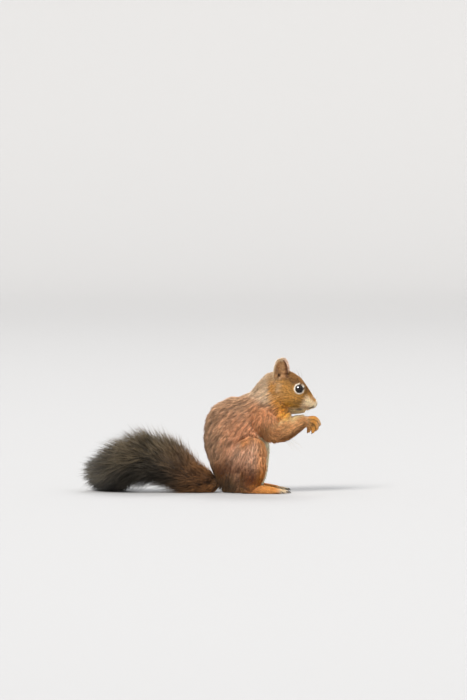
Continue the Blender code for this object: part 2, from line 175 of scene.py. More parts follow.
def ring_faces(index, flipped=False):
    """Four-sided faces between neighbouring rings of points, each ring closed on itself."""
    turned = np.roll(index, -1, axis=1)
    corners = [index[:-1], turned[:-1], turned[1:], index[1:]]
    if flipped:
        corners = corners[:1] + corners[:0:-1]
    return list(zip(*(corner.ravel() for corner in corners)))


def pole_faces(index, flipped=False):
    """Triangles from the first and the last ring to two points numbered after all the rings."""
    faces = []
    for number, ring in enumerate((index[0], index[-1])):
        pole = index.size + number
        pairs = zip(ring, np.roll(ring, -1))
        faces += [(pole, a, b) if flipped == (number == 0) else (pole, b, a) for a, b in pairs]
    return faces


print("length of the tail's path, mm:", along(np.array(TAIL, dtype=float))[-1].round(1))


# %% A tube with rounded ends
def closed_tube(rows, sides=32, step=1.5, domes=(1.0, 1.0)):
    """Points and faces of a tube with rounded ends.

    A point is middle + depth·sin(a)·up + width·cos(a)·sideways.  At an end the section
    shrinks as cos(b) while it moves out as sin(b), b running to a right angle.
    """
    rows = np.asarray(rows, dtype=float)
    end = along(rows)[-1]
    bends = np.linspace(0, math.pi / 2, 7)[1:-1]
    middle = np.linspace(0, end, max(4, round(end / step)))
    at = np.concatenate([bends * 0, middle, bends * 0 + end])
    reach = [share * rows[i, 3:5].mean() for share, i in zip(domes, (0, -1))]
    out = np.concatenate([-reach[0] * np.sin(bends[::-1]), middle * 0, reach[1] * np.sin(bends)])
    shrink = np.concatenate([np.cos(bends[::-1]), middle * 0 + 1, np.cos(bends)])[:, None, None]
    read = read_rows(rows, at)
    ahead, sideways, up = path_frames(rows, at)
    angle = (np.arange(sides) * 2 * math.pi / sides)[None, :, None]
    ring = ((read[:, :3] + out[:, None] * ahead)[:, None] + shrink * (
        read[:, 3, None, None] * np.sin(angle) * up[:, None]
        + read[:, 4, None, None] * np.cos(angle) * sideways[:, None]))
    poles = read[[0, -1], :3] + np.array([[-reach[0]], [reach[1]]]) * ahead[[0, -1]]
    index = np.arange(len(at) * sides).reshape(-1, sides)
    return np.vstack([ring.reshape(-1, 3), poles]), ring_faces(index) + pole_faces(index)


print("points of the trunk's tube:", len(closed_tube(TRUNK)[0]))

# %% [markdown]
# ### The ear
#
# An ear is a thin leaf of gristle, hollowed like a spoon.  Its shape is one formula of two
# parameters, across and up; the same formula later tells the inside of the ear from the back
# of it, for the colours and the hair.

# %% The leaf of an ear
EAR_EDGE = math.radians(78)               # how far round a circle the hollow runs, from the middle


def ear_half(lift, least=0.0):
    """Half the ear's width at a share of its height: an ellipse pointed above."""
    return EAR_WIDTH / 2 * np.sqrt(np.clip(1 - lift ** 2.2, least, 1)) * (0.86 + 0.30 * lift) + 0.3


def ear_depth(lift, bend):
    """How deep the hollow is: most in the middle, where bend is 0, and less towards the tip."""
    return EAR_CUP * (1 - 0.75 * lift) * (np.cos(bend) - 0.35)


def ear_leaf(wall, columns=25, rows=33):
    """A closed, pointed leaf, hollowed towards the side, for the left ear in the head's frame.

    u runs across from -1 to 1 and v from the root to the tip at 1.  A point lies at half the
    width times the sine of its bend across, the hollow's depth inwards and v·height up.
    """
    uu, vv = np.meshgrid(np.linspace(-1, 1, columns), np.linspace(-EAR_BELOW, 1, rows))
    lift = np.clip(vv, 0, 1)
    bend = uu * EAR_EDGE
    leaf = np.stack([ear_half(lift) * np.sin(bend) / math.sin(EAR_EDGE), -ear_depth(lift, bend),
                     EAR_HEIGHT * vv], axis=-1)
    leaf = leaf @ ear_turn.T + EAR_AT
    normal = np.cross(np.gradient(leaf, axis=1), np.gradient(leaf, axis=0))
    normal *= wall / 2 / np.linalg.norm(normal, axis=2)[:, :, None]
    near = np.arange(uu.size).reshape(uu.shape)
    far = near + uu.size
    faces = []
    for sheet in (near, far[:, ::-1]):
        corners = sheet[:-1, :-1], sheet[:-1, 1:], sheet[1:, 1:], sheet[1:, :-1]
        faces += zip(*(corner.ravel() for corner in corners))
    for rim in (np.s_[0, :], np.s_[::-1, 0], np.s_[-1, ::-1], np.s_[:, -1]):
        faces += zip(near[rim][:-1], far[rim][:-1], far[rim][1:], near[rim][1:])
    return np.vstack([(leaf + normal).reshape(-1, 3), (leaf - normal).reshape(-1, 3)]), faces


print("points of an ear's leaf:", len(ear_leaf(EAR_WALL)[0]))

# %% [markdown]
# ## The parts and their coats
#
# The plan reaches out to the tips of the hair, and the bare skin lies a coat's depth inside
# it.  One table gives that depth for each part, deep on the back, shallow on the limbs and
# least on face and feet.  Only the tail is mostly hair, round a core as thick as a finger.

# %% Parts of the body
def mirrored(rows, side):
    """Rows of the left side, or with side -1 their mirror image on the right."""
    rows = np.array(rows, dtype=float)
    rows[:, 1] *= side
    return rows


def toe_path(number, side):
    """One toe, from inside the ball of the foot to its tip, and the rows of its claw."""
    length = TOE_LENGTHS[number]
    place = number - 2
    turn = place * TOE_FAN + math.radians(3)
    root = np.array([TOE_ROOT_X - 0.9 * abs(place), 26 + place * TOE_SPREAD])
    ahead = np.array([math.cos(turn), math.sin(turn)])

    def row(reach, z, half):
        """One row of the toe or its claw, `reach` mm from the root."""
        x, y = root + ahead * reach
        return (x, y * side, z, half, half * 0.72)

    toe = [row(0, 2.6, TOE_THICK), row(0.45 * length, 3.2, TOE_THICK * 0.95),
           row(0.8 * length, 2.2, TOE_THICK * 0.92), row(length, 1.9, TOE_THICK * 0.7)]
    claw = [row(length - 0.4, 2.2, 0.95), row(length + CLAW_LENGTH * 0.4, 2.0, 0.7),
            row(length + CLAW_LENGTH, 0.8, 0.25)]
    return np.array(toe), np.array(claw)


class Part:
    """A stretch of the body: what it is, and its path with the coat's depth taken off."""

    def __init__(self, kind, rows, depth, domes=(1, 1)):
        self.kind, self.domes = kind, domes
        self.skin = np.array(rows, dtype=float)
        self.skin[:, 3:5] -= np.broadcast_to(depth, len(rows))[:, None]


def round_rows(rows):
    """Rows with a round section from rows that give one half thickness."""
    rows = np.array(rows, dtype=float)
    return np.column_stack([rows, rows[:, 3]])


print("middle toe with its claw, mm:", TOE_LENGTHS[2] + CLAW_LENGTH)

# %% The table of parts
TRUNK_PART, TAIL_PART = 0, 2              # their places in the table
TRUNK_COAT = (1.6, 1.8, 2.1, 2.4, 2.4, 5.4, 4.8, 1.4, 2.0)
HEAD_COAT = (1.4, 1.3, 1.1, 0.9, 0.8, 0.7, 0.55, 0.5, 0.4, 0.3)
TAIL_CORE = (5.5, 6, 6.2, 6.4, 6.4, 6.2, 6, 5.5, 5, 4.4, 3.4)      # half thickness under the hair
head_rows = [(a, 0, (top + low) / 2, (top - low) / 2, half) for a, top, low, half in HEAD]
tail_rows = np.array(TAIL, dtype=float)
tail_coat = tail_rows[:, 3:5].min(axis=1) - np.array(TAIL_CORE)
parts = [
    Part("trunk", TRUNK, TRUNK_COAT, (0.3, 0.6)),
    Part("head", head_rows, HEAD_COAT, (0.5, 0.45)),
    Part("tail", TAIL, tail_coat, (1.5, 1.5)),
]
for _, side in SIDES:
    parts += [
        Part("upper_arm", mirrored(UPPER_ARM, side), 1.8),
        Part("forearm", mirrored(FOREARM, side), (1.3, 1.2, 1.1, 0.9, 0.7), (0.8, 0.5)),
        Part("paw", mirrored(PALM, side), 0.6, (0.7, 0.9)),
        Part("thigh", mirrored(THIGH, side), 2.1, (0.9, 0.95)),
        Part("shin", mirrored(SHIN, side), (1.7, 1.5, 1.3, 1.1), (0.9, 0.5)),
        Part("foot", mirrored(FOOT, side), 0.7, (0.8, 0.6)),
    ]
    parts += [Part("finger", round_rows(mirrored(rows, side)), -0.15, (0.7, 1)) for rows in FINGERS]
    parts += [Part("toe", toe_path(i, side)[0], 0.35, (0.7, 1)) for i in range(len(TOE_LENGTHS))]
print(len(parts), "parts")


def numbers_of(kind):
    """The places in the table of all parts of a kind."""
    return [i for i, part in enumerate(parts) if part.kind == kind]


# %% [markdown]
# ## One skin
#
# The bare parts overlap where they meet, as bones and muscles do under a skin.  A voxel remesh
# wraps all of them in one closed surface.  It is made fine everywhere and thinned afterwards
# where the coat is thick, so that face and fingers keep their detail, and then smoothed, which
# draws the soft webs between limb and body that a skin has.

# %% Meshes from arrays
def add_mesh(name, points, faces):
    """A mesh object from points of the plan, in millimetres."""
    mesh = bpy.data.meshes.new(name)
    mesh.from_pydata(((points + SHIFT) * MM).tolist(), [], [tuple(map(int, face)) for face in faces])
    mesh.update()
    obj = bpy.data.objects.new(name, mesh)
    bpy.context.scene.collection.objects.link(obj)
    return obj


def add_joined(name, shapes):
    """Several point and face lists as one mesh object."""
    points, faces, first = [], [], 0
    for some_points, some_faces in shapes:
        points.append(some_points)
        faces += [tuple(first + int(i) for i in face) for face in some_faces]
        first += len(some_points)
    return add_mesh(name, np.vstack(points), faces)


def applied(obj):
    """The object with its modifiers made real."""
    graph = bpy.context.evaluated_depsgraph_get()
    mesh = bpy.data.meshes.new_from_object(obj.evaluated_get(graph))
    old = obj.data
    obj.modifiers.clear()
    obj.data = mesh
    bpy.data.meshes.remove(old)
    return obj


def read_points(mesh):
    """The points of a mesh, in millimetres of the plan."""
    co = np.empty(len(mesh.vertices) * 3)
    mesh.vertices.foreach_get("co", co)
    return co.reshape(-1, 3) / MM - SHIFT


def write_points(mesh, points):
    """Moves the points of a mesh to places given in millimetres of the plan."""
    mesh.vertices.foreach_set("co", ((points + SHIFT) * MM).ravel())
    mesh.update()


def read_triangles(mesh):
    """The numbers of the three points of every triangle."""
    mesh.calc_loop_triangles()
    tri = np.empty(len(mesh.loop_triangles) * 3, dtype=np.int64)
    mesh.loop_triangles.foreach_get("vertices", tri)
    return tri.reshape(-1, 3)


def point_normals(points, tri):
    """Area-weighted mean of the triangle normals round each point."""
    face = np.cross(points[tri[:, 1]] - points[tri[:, 0]], points[tri[:, 2]] - points[tri[:, 0]])
    normal = np.stack([np.bincount(tri.ravel(), np.repeat(face[:, k], 3), len(points)) for k in range(3)], 1)
    return normal / np.maximum(np.linalg.norm(normal, axis=1), 1e-9)[:, None]


# %% Wrap the parts in a skin
SKIN_VOXEL = 0.55                         # mm
SKIN_TRIANGLES = 176000

# the arch of the back, and the loose skin that bridges the bends at the nape and at the elbow
HUMP = [(-9.7, 0, 64, 13, 16), (-7.6, 0, 74.5, 13, 16), (-2.5, 0, 81, 13, 16),
        (4, 0, 83.2, 13, 15.5), (10, 0, 84.2, 13, 15)]
NAPE = [(11, 0, 87.5, 9.5, 14), (23.5, 0, 93.2, 9.4, 13), (32.5, 0, 99.3, 8.7, 12.5),
        (41, 0, 109.3, 9.4, 12.5), (45, 0, 114.5, 9.4, 12)]
CROOK = [(50, 10, 92, 9, 8), (55, 12, 83, 8, 7.5), (60.5, 13.5, 74, 6.5, 6.5)]
# the lower jaw, set back under the lip, in the head's frame
CHIN = [(12, 0, -14.0, 6.5, 10), (22, 0, -12.6, 5.9, 8), (29.5, 0, -10.4, 4.6, 6),
        (33.5, 0, -9.0, 3.4, 4.4)]


def skin_shapes():
    """Points and faces of every bare part, one closed shape after the other."""
    for part in parts:
        points, faces = closed_tube(part.skin, domes=part.domes)
        yield (from_head(points) if part.kind == "head" else points), faces
    yield closed_tube(HUMP)
    yield closed_tube(NAPE)
    points, faces = closed_tube(CHIN, domes=(0.7, 0.6))
    yield from_head(points), faces
    for _, side in SIDES:
        yield closed_tube(mirrored(CROOK, side))
    points, faces = ear_leaf(EAR_WALL)
    yield from_head(points), faces
    yield from_head(points * (1, -1, 1)), [face[::-1] for face in faces]


skin = add_joined("skin", skin_shapes())
wrap = skin.modifiers.new("one surface", "REMESH")
wrap.mode = "VOXEL"
wrap.voxel_size = SKIN_VOXEL * MM
applied(skin)
print("skin before thinning:", len(skin.data.polygons), "faces")


# %% [markdown]
# ## Where a point of the skin belongs
#
# Hair direction, length and colour all depend on the part of the body.  Each part's path is
# sampled, and for any point the nearest section of every part is found.  Near a joint two
# parts are about as near, and their values are mixed, so that the coat changes smoothly.

# %% Soft steps
def smooth(low, high, value):
    """0 below low, 1 above high, an S-shaped step between."""
    t = np.clip((value - low) / (high - low), 0, 1)
    return t * t * (3 - 2 * t)


def bell(away, width):
    """1 where `away` is 0, falling to both sides as exp(-(away / width)^2)."""
    return np.exp(-(away / width) ** 2)


print("a step in quarters:", smooth(0, 1, np.linspace(0, 1, 5)))
print("a bell in halves:", bell(np.linspace(-1, 1, 5), 1).round(2))


# %% Measure points against the parts
NEAR_MIX = 1.6                            # mm over which the values of two parts are mixed
PATH_STEP = 2.5                           # mm between the sections that points are held against
BATCH = 20000                             # points at a time, to spare memory
EAR_ROOM = (11, 6.5, 26)                  # half width, half depth and height of an ear, mm


class Place:
    """Points with, for every part: distance to its surface, share of its length, angle round it."""

    def __init__(self, points):
        self.points = points
        self.local = to_head(points)
        count = len(points)
        self.distance = np.empty((len(parts), count))
        self.share = np.empty((len(parts), count))
        self.angle = np.empty((len(parts), count))
        self.ahead = np.empty((len(parts), count, 3))
        for number, part in enumerate(parts):
            end = along(part.skin)[-1]
            at = np.linspace(0, end, max(5, round(end / PATH_STEP)))
            rows = read_rows(part.skin, at)
            ahead, sideways, up = path_frames(part.skin, at)
            seen = self.local if part.kind == "head" else points
            for first in range(0, count, BATCH):
                piece = slice(first, first + BATCH)
                away = seen[piece, None] - rows[None, :, :3]
                deep = np.einsum("nsk,sk->ns", away, up)
                wide = np.einsum("nsk,sk->ns", away, sideways)
                long = np.einsum("nsk,sk->ns", away, ahead)
                mean = rows[:, 3:5].mean(axis=1)
                ratio = np.sqrt((deep / rows[:, 3]) ** 2 + (wide / rows[:, 4]) ** 2 + (long / mean) ** 2)
                gap = (ratio - 1) * mean
                best = gap.argmin(axis=1)
                pick = np.arange(len(best)), best
                self.distance[number, piece] = gap[pick]
                self.share[number, piece] = np.clip((at[best] + long[pick]) / end, 0, 1)
                self.angle[number, piece] = np.arctan2(deep[pick] / rows[best, 3], wide[pick] / rows[best, 4])
                self.ahead[number, piece] = ahead[best]
            if part.kind == "head":
                self.ahead[number] = self.ahead[number] @ head_matrix[:3, :3].T
        nearness = np.exp(-(self.distance - self.distance.min(axis=0)) / NEAR_MIX)
        self.weight = nearness / nearness.sum(axis=0)
        self.part = self.distance.argmin(axis=0)
        self.ear = np.zeros(count)
        self.ear_local = np.zeros((count, 3))
        for _, side in SIDES:
            ear = to_ear(self.local, side)
            inside = (np.abs(ear[:, :2]) < EAR_ROOM[:2]).all(axis=1) & (ear[:, 2] < EAR_ROOM[2])
            here = smooth(0.5, 3.0, ear[:, 2]) * inside
            self.ear_local[here > 0] = ear[here > 0]
            self.ear = np.maximum(self.ear, here)

    def of(self, kind):
        """How much of each point belongs to a kind of part, 0 to 1."""
        return sum(self.weight[i] for i in numbers_of(kind))

    def share_in(self, kind):
        """How far along that kind of part the point lies, 0 to 1."""
        chosen = numbers_of(kind)
        weight = self.weight[chosen] + 1e-9
        return (self.share[chosen] * weight).sum(axis=0) / weight.sum(axis=0)

    def angle_round(self, kind):
        """The angle round the nearer part of that kind; its sine is 1 on the part's up side."""
        chosen = np.array(numbers_of(kind))
        nearest = chosen[self.distance[chosen].argmin(axis=0)]
        return self.angle[nearest, np.arange(len(nearest))]


# %% Thin the skin where the coat is deep
points = read_points(skin.data)
local = to_head(points)
fine = np.maximum.reduce([
    smooth(-6, 2, local[:, 0]) * smooth(-40, -24, local[:, 2]),        # face and ears
    smooth(74, 80, points[:, 0]),                                      # hands
    smooth(12, 16, points[:, 0]) * smooth(8, 5, points[:, 2]),         # feet
])
COARSE_LEVELS = 10
group = skin.vertex_groups.new(name="coarse")
coarse = np.round((1 - fine) * COARSE_LEVELS).astype(int)
for level in range(1, COARSE_LEVELS + 1):
    chosen = np.flatnonzero(coarse == level)
    group.add(chosen.tolist(), level / COARSE_LEVELS, "REPLACE")
thin = skin.modifiers.new("thin", "DECIMATE")
thin.vertex_group = "coarse"
thin.vertex_group_factor = 1.0
thin.ratio = SKIN_TRIANGLES / (2 * len(skin.data.polygons))
applied(skin)
skin.vertex_groups.clear()
print("skin after thinning:", len(skin.data.polygons), "faces")


# %% Smooth it, more where limbs run into the body
def relaxed(points, edges, amount, rounds):
    """Each round moves a point a share of the way to its neighbours' mean, then part of it back."""
    both = np.concatenate([edges, edges[:, ::-1]])
    count = np.bincount(both[:, 0], minlength=len(points))[:, None]
    for _ in range(rounds):
        for step in (0.5, -0.4):
            mean = np.stack([np.bincount(both[:, 0], points[both[:, 1], k], len(points))
                             for k in range(3)], 1) / count
            points = points + (mean - points) * step * amount
    return points


mesh = skin.data
points = read_points(mesh)
edges = np.empty(len(mesh.edges) * 2, dtype=np.int64)
mesh.edges.foreach_get("vertices", edges)
edges = edges.reshape(-1, 2)
place = Place(points)
small = place.of("finger") + place.of("toe") + place.of("paw") * 0.5
points = relaxed(points, edges, (0.9 - 0.7 * np.clip(small, 0, 1))[:, None], rounds=12)
x, y, z = points.T
nape_bend = (smooth(70, 84, z) * smooth(14, 24, x) * smooth(66, 56, x - 0.5 * (z - 80))
             * smooth(18, 6, place.local[:, 0]))
rump_arch = smooth(15, 3, x) * smooth(34, 50, z) * smooth(-44, -30, x)
back_arch = smooth(68, 78, z) * smooth(24, 14, x)
joined = np.clip(nape_bend + rump_arch + back_arch, 0, 1)
points = relaxed(points, edges, joined[:, None], rounds=60)
print("smoothed:", len(edges), "edges, again over", int((joined > 0.5).sum()), "points of the back")

# %% [markdown]
# ## The face
#
# The head gets its features by moving the points of the skin.  The eyeballs bulge from the
# sides of a squirrel's head, so the skin is drawn over them in a rim: inside the opening it
# dips behind the ball, at the rim it stands a little proud, and beyond it runs back into the
# cheek.  Nostrils and mouth are grooves, lips and cheeks are low swellings.

# %% Eyelids
LID_ANGLE = math.radians(59)              # from the line of sight to the lids' edge
COLLAR_RISE, COLLAR_SLOPE = 3.98, 0.38    # the cone round the eye, mm and mm per mm
EYE_LOOK = np.array([0.20, 0.95, 0.20])
EYE_LOOK /= np.linalg.norm(EYE_LOOK)


def eye_polar(local, side):
    """Offset from the eyeball's middle, its length, and its angle away from the way the eye looks."""
    away = local * (1, side, 1) - EYE_AT
    reach = np.linalg.norm(away, axis=1)
    return away, reach, np.arccos(np.clip(away @ EYE_LOOK / np.maximum(reach, 1e-6), -1, 1))


def eye_ring(local):
    """Distance from the line along which the nearer eye looks, far from it a large value."""
    rings = []
    for _, side in SIDES:
        _, reach, turn = eye_polar(local, side)
        behind = 8 * np.maximum(turn - 1.35, 0)
        rings.append(np.where((turn < 2.0) & (reach < 12), reach * np.sin(turn) + behind, 50.0))
    return np.minimum(*rings)


def with_lids(local):
    """Draws the skin over the eyeballs.

    Inside the opening the skin dips behind the ball.  Outside it follows a shallow cone round
    the line of sight, which makes the raised ring that the pale hair stands on, and returns
    to the head's own shape further out.
    """
    for _, side in SIDES:
        away, reach, turn = eye_polar(local, side)
        cone = COLLAR_RISE / np.maximum(np.cos(turn) + COLLAR_SLOPE * np.sin(turn), 0.15)
        rim = 0.30 * bell(turn - LID_ANGLE - 0.09, 0.08)
        inner = EYE_RADIUS + 0.12 - 1.5 * smooth(LID_ANGLE, LID_ANGLE - 0.16, turn)
        wanted = inner + (cone + rim - inner) * smooth(LID_ANGLE - 0.02, LID_ANGLE + 0.08, turn)
        share = smooth(1.75, 1.32, turn) * smooth(12.5, 9.5, reach)
        grown = away * (1 + share * (wanted / np.maximum(reach, 1e-6) - 1))[:, None]
        local = (EYE_AT + grown) * (1, side, 1)
    return local


print("opening of the lids, mm:", round(2 * EYE_RADIUS * math.sin(LID_ANGLE), 1))

# %% Muzzle, cheeks and ears
MOUTH = [(42.2, -1.6), (39.6, -4.4), (36.0, -6.2), (31.5, -8.0), (28.5, -8.6)]     # forward, up


def near_line(across, up, corners):
    """Distance in the profile's plane from a line of several stretches."""
    nearest = np.full(len(across), 1e9)
    here = np.stack([across, up], 1)
    for start, end in zip(corners[:-1], corners[1:]):
        start, step = np.array(start), np.subtract(end, start)
        t = np.clip((here - start) @ step / (step @ step), 0, 1)
        nearest = np.minimum(nearest, np.linalg.norm(here - start - t[:, None] * step, axis=1))
    return nearest


def lump(local, at, radius):
    """1 at a place and at its mirror image, falling to 0 as a bell curve of that radius."""
    away = np.stack([local[:, 0], np.abs(local[:, 1]), local[:, 2]], 1) - np.array(at)
    return np.exp(-(away ** 2).sum(axis=1) / radius ** 2)


# height, place across and up, and radius of the pits and lobes in the ear's hollow
EAR_RELIEF = [(-2.4, -0.8, 4.1, 1.5), (-1.3, 1.3, -1.3, 1.1), (-0.7, -1.3, -4.2, 0.9),
              (0.9, -3.2, 2.6, 1.6), (0.9, 1.5, 2.2, 1.3), (0.7, -5.0, -3.0, 1.8),
              (1.0, 6.6, 8.0, 1.9), (1.0, 6.2, 12.0, 1.7), (-0.9, 4.6, 9.5, 1.8), (-0.8, 5.0, 5.0, 1.6)]
EAR_MIDDLE = -2.4                         # through the ear, where its hollow lies


def ear_spot(local, at, radius):
    """1 at a place of both ears, in the ear's own frame, falling off as a bell curve."""
    return sum(np.exp(-(((to_ear(local, side) - at) / (radius, 4.0, radius)) ** 2).sum(axis=1))
               for _, side in SIDES)


def face_relief(local):
    """How far each point of the head moves out along its normal, in millimetres."""
    mouth = bell(near_line(local[:, 0], local[:, 2], MOUTH), 0.65)
    return (-0.75 * mouth * smooth(27, 31, local[:, 0])
            - 1.1 * lump(local, (43.4, 1.9, 0.9), 0.85)                # nostrils
            - 0.5 * lump(local, (44.0, 0, -1.4), 0.7) - 0.4 * lump(local, (43.8, 0, -2.6), 0.7)
            + 0.35 * lump(local, (43.8, 0.9, 0.6), 0.8)                # tip of the nose
            + 0.55 * lump(local, (37.5, 4.8, -1.2), 2.8)               # whisker pads
            + 0.30 * lump(local, (38.0, 1.5, -7.0), 2.5)               # lower lip
            + 0.9 * lump(local, (15.0, 14.5, -7.0), 7.0)               # cheeks
            + 0.5 * lump(local, (18.0, 9.0, 16.0), 4.0)                # brows
            - 0.5 * lump(local, (30.0, 8.5, 5.0), 4.0)                 # in front of the eyes
            + sum(height * ear_spot(local, (across, EAR_MIDDLE, up), radius)
                  for height, across, up, radius in EAR_RELIEF))


print("length of the mouth, mm:", round(sum(map(math.dist, MOUTH[:-1], MOUTH[1:])), 1))

# %% The fold over the thigh
def thigh_edge(place):
    """How much nearer a point is to the trunk's own surface than to a thigh's: 0 in the fold."""
    return place.distance[numbers_of("thigh")].min(axis=0) - place.distance[TRUNK_PART]


def thigh_top(place):
    """1 round the upper edge of the thighs, 0 elsewhere."""
    x, _, z = place.points.T
    arm = place.of("upper_arm") + place.of("forearm")
    return smooth(36, 52, z) * smooth(6, 16, x) * (1 - np.clip(arm, 0, 1))


def thigh_relief(place):
    """A fold over the thigh and the swelling of the thigh below it, in millimetres."""
    edge = thigh_edge(place)
    return thigh_top(place) * (0.9 * bell(edge + 4.0, 2.6) - 1.5 * bell(edge - 0.4, 1.5))


# %% Give the skin its features
EAR_THINNING, FOOT_GAP, BODY_GAP = 0.38, 0.05, 1.0                     # mm
local = to_head(points)
normal = point_normals(points, read_triangles(mesh))
on_head = place.of("head") > 0.3
points = points + normal * thigh_relief(place)[:, None]
points = np.where(on_head[:, None], points + normal * face_relief(local)[:, None], points)
thinned = smooth(2.0, 5.0, place.ear_local[:, 2]) * (place.ear > 0)
points = points - normal * (EAR_THINNING * thinned)[:, None]
points = np.where(on_head[:, None], from_head(with_lids(to_head(points))), points)
floor_gap = np.where(place.of("foot") + place.of("toe") > 0.5, FOOT_GAP, BODY_GAP)
points[:, 2] = np.maximum(points[:, 2], floor_gap)
write_points(mesh, points)
mesh.shade_smooth()
skin_points = points
skin_triangles = read_triangles(mesh)
skin_normals = point_normals(points, skin_triangles)
print("skin:", len(skin_triangles), "triangles,", np.ptp(points, axis=0).round(1), "mm")

# %% [markdown]
# ## Colours of the coat
#
# The back is a warm red-brown, greyer along the top.  The neck, cheeks, arms and feet are
# orange, throat and belly creamy white, and the tail runs from a dark rusty root to almost
# black.  A picture could be wrapped round the animal, but it would tie the coat to one
# unwrap.  Here the colours are worked out from the part and the place on it, with soft edges,
# and the same rule colours the skin and the roots of the tufts.
# Some of the marks are painted light and shade, and each is called so where it is made.

# %% Palette
def colour(red, green, blue):
    """A screen colour as light intensities."""
    return (np.array([red, green, blue]) / 255) ** 2.2


PALETTE = {
    "back": colour(184, 146, 114), "nape": colour(208, 182, 152), "flank": colour(216, 156, 116),
    "rump": colour(107, 79, 48), "shoulder": colour(226, 162, 114), "cream": colour(255, 232, 196),
    "thigh": colour(226, 178, 144), "thigh_low": colour(126, 68, 20), "elbow": colour(140, 88, 42),
    "forearm": colour(222, 164, 106), "peach": colour(255, 222, 164), "paw": colour(232, 162, 72),
    "foot": colour(236, 162, 84), "toe": colour(238, 212, 172), "heel": colour(138, 74, 26),
    "orange": colour(228, 144, 46), "amber": colour(255, 176, 62), "ochre": colour(200, 136, 40),
    "olive": colour(122, 92, 40), "crown": colour(138, 98, 54), "cheek": colour(194, 142, 70),
    "jaw": colour(206, 154, 58), "muzzle": colour(255, 228, 186), "nose": colour(250, 230, 200),
    "ring": colour(255, 244, 226), "shade_grey": colour(104, 90, 84), "dark": colour(52, 36, 26),
    "ear_in": colour(182, 134, 88), "ear_rim": colour(218, 190, 152), "pink": colour(238, 206, 184),
    "umber": colour(98, 58, 20), "tan": colour(196, 152, 104), "bark": colour(104, 72, 40),
    "tail_root": colour(104, 70, 40), "tail": colour(74, 64, 48), "tail_end": colour(70, 66, 57),
    "tail_under_shade": colour(40, 36, 30),
}
print(len(PALETTE), "colours")


def mix(base, name, share):
    """The colours moved towards a named one by a share that may differ from point to point."""
    return base + (PALETTE[name] - base) * np.clip(share, 0, 1)[:, None]


# %% Body and limbs
def body_colours(place):
    """Back and flanks, paler at the nape, redder on the shoulder, dark over the tail."""
    x, y, z = place.points.T
    paint = np.tile(PALETTE["back"], (len(x), 1))
    paint = mix(paint, "flank", smooth(-20, 18, x) * smooth(96, 70, z))
    paint = mix(paint, "nape", smooth(30, 46, x) * smooth(88, 104, z))
    paint = mix(paint, "shoulder", smooth(22, 36, x) * smooth(98, 84, z) * smooth(8, 14, np.abs(y)))
    return mix(paint, "rump", smooth(44, 24, z) * smooth(24, 4, x))


def leg_colours(paint, place):
    """Pale above, dark reddish below, orange along the front edge."""
    x, y, z = place.points.T
    thigh = place.of("thigh") + place.of("shin")
    paint = mix(paint, "thigh", thigh * smooth(-6, 10, x))
    paint = mix(paint, "thigh_low", thigh * smooth(44, 18, z + 0.25 * (x - 20)))
    paint = mix(paint, "orange", place.of("shin") * smooth(16, 6, z) * smooth(18, 27, x) * 0.6)
    return mix(paint, "orange", thigh * smooth(26, 36, x) * smooth(12, 18, np.abs(y)) * 0.5)


def arm_colours(paint, place):
    """Painted light along the upper side of the forearm, painted shade under it and at the elbow."""
    x, _, z = place.points.T
    arm, forearm = place.of("upper_arm"), place.of("forearm")
    upward = np.sin(place.angle_round("forearm"))
    paint = mix(paint, "shoulder", arm)
    # painted shade in the bend of the elbow
    paint = mix(paint, "elbow", arm * smooth(80, 68, z) * smooth(30, 36, x))
    paint = mix(paint, "forearm", forearm)
    # painted light on the forearm's upper side
    paint = mix(paint, "peach", forearm * smooth(0.5, 1.0, upward))
    # painted shade on the forearm's under side
    paint = mix(paint, "elbow", forearm * smooth(-0.1, -0.8, upward) * 0.9)
    return mix(paint, "paw", place.of("paw") + place.of("finger"))


def foot_colours(paint, place):
    """Orange, darker at the heel, pale towards the nails, with painted shade in the clefts between the toes.
    """
    x, _, z = place.points.T
    feet = place.of("foot") + place.of("toe")
    paint = mix(paint, "foot", feet)
    paint = mix(paint, "heel", feet * smooth(34, 20, x))
    paint = mix(paint, "rump", (feet + place.of("shin")) * smooth(24, 13, x) * smooth(34, 14, z) * 0.85)
    paint = mix(paint, "toe", feet * smooth(48, 57, x))
    paint = mix(paint, "toe", place.of("finger") * 0.6 * smooth(91, 96, x))
    for kind in ("finger", "toe"):
        first, second = np.sort(place.distance[numbers_of(kind)], axis=0)[:2]
        # painted shade between neighbouring fingers and between neighbouring toes
        clefts = 0.85 * bell(second - first, 0.6) * smooth(3, 1, first)
        paint = mix(paint, "dark", clefts * place.of(kind))
    return paint


def belly_colours(paint, place):
    """Cream on chest and belly and on the inner sides of arms and legs."""
    x, y, z = place.points.T
    half_width = 20 - 9 * smooth(78, 90, z)
    front = smooth(0.55, 0.85, -np.sin(place.angle[TRUNK_PART]))
    belly = place.of("trunk") * front * smooth(half_width, half_width * 0.6, np.abs(y))
    paint = mix(paint, "cream", belly)
    limbs = place.of("upper_arm") + place.of("forearm") + (place.of("thigh") + place.of("shin"))
    return mix(paint, "cream", limbs * smooth(13, 8, np.abs(y)) * smooth(24, 34, x) * 0.9)


# %% The head
JAW_SHADE = [(28.0, -3.0), (24.5, -8.5), (21.0, -14.0)]                # forward, up
LIP_SHADE = [(29.0, -11.3), (32.0, -9.6)]


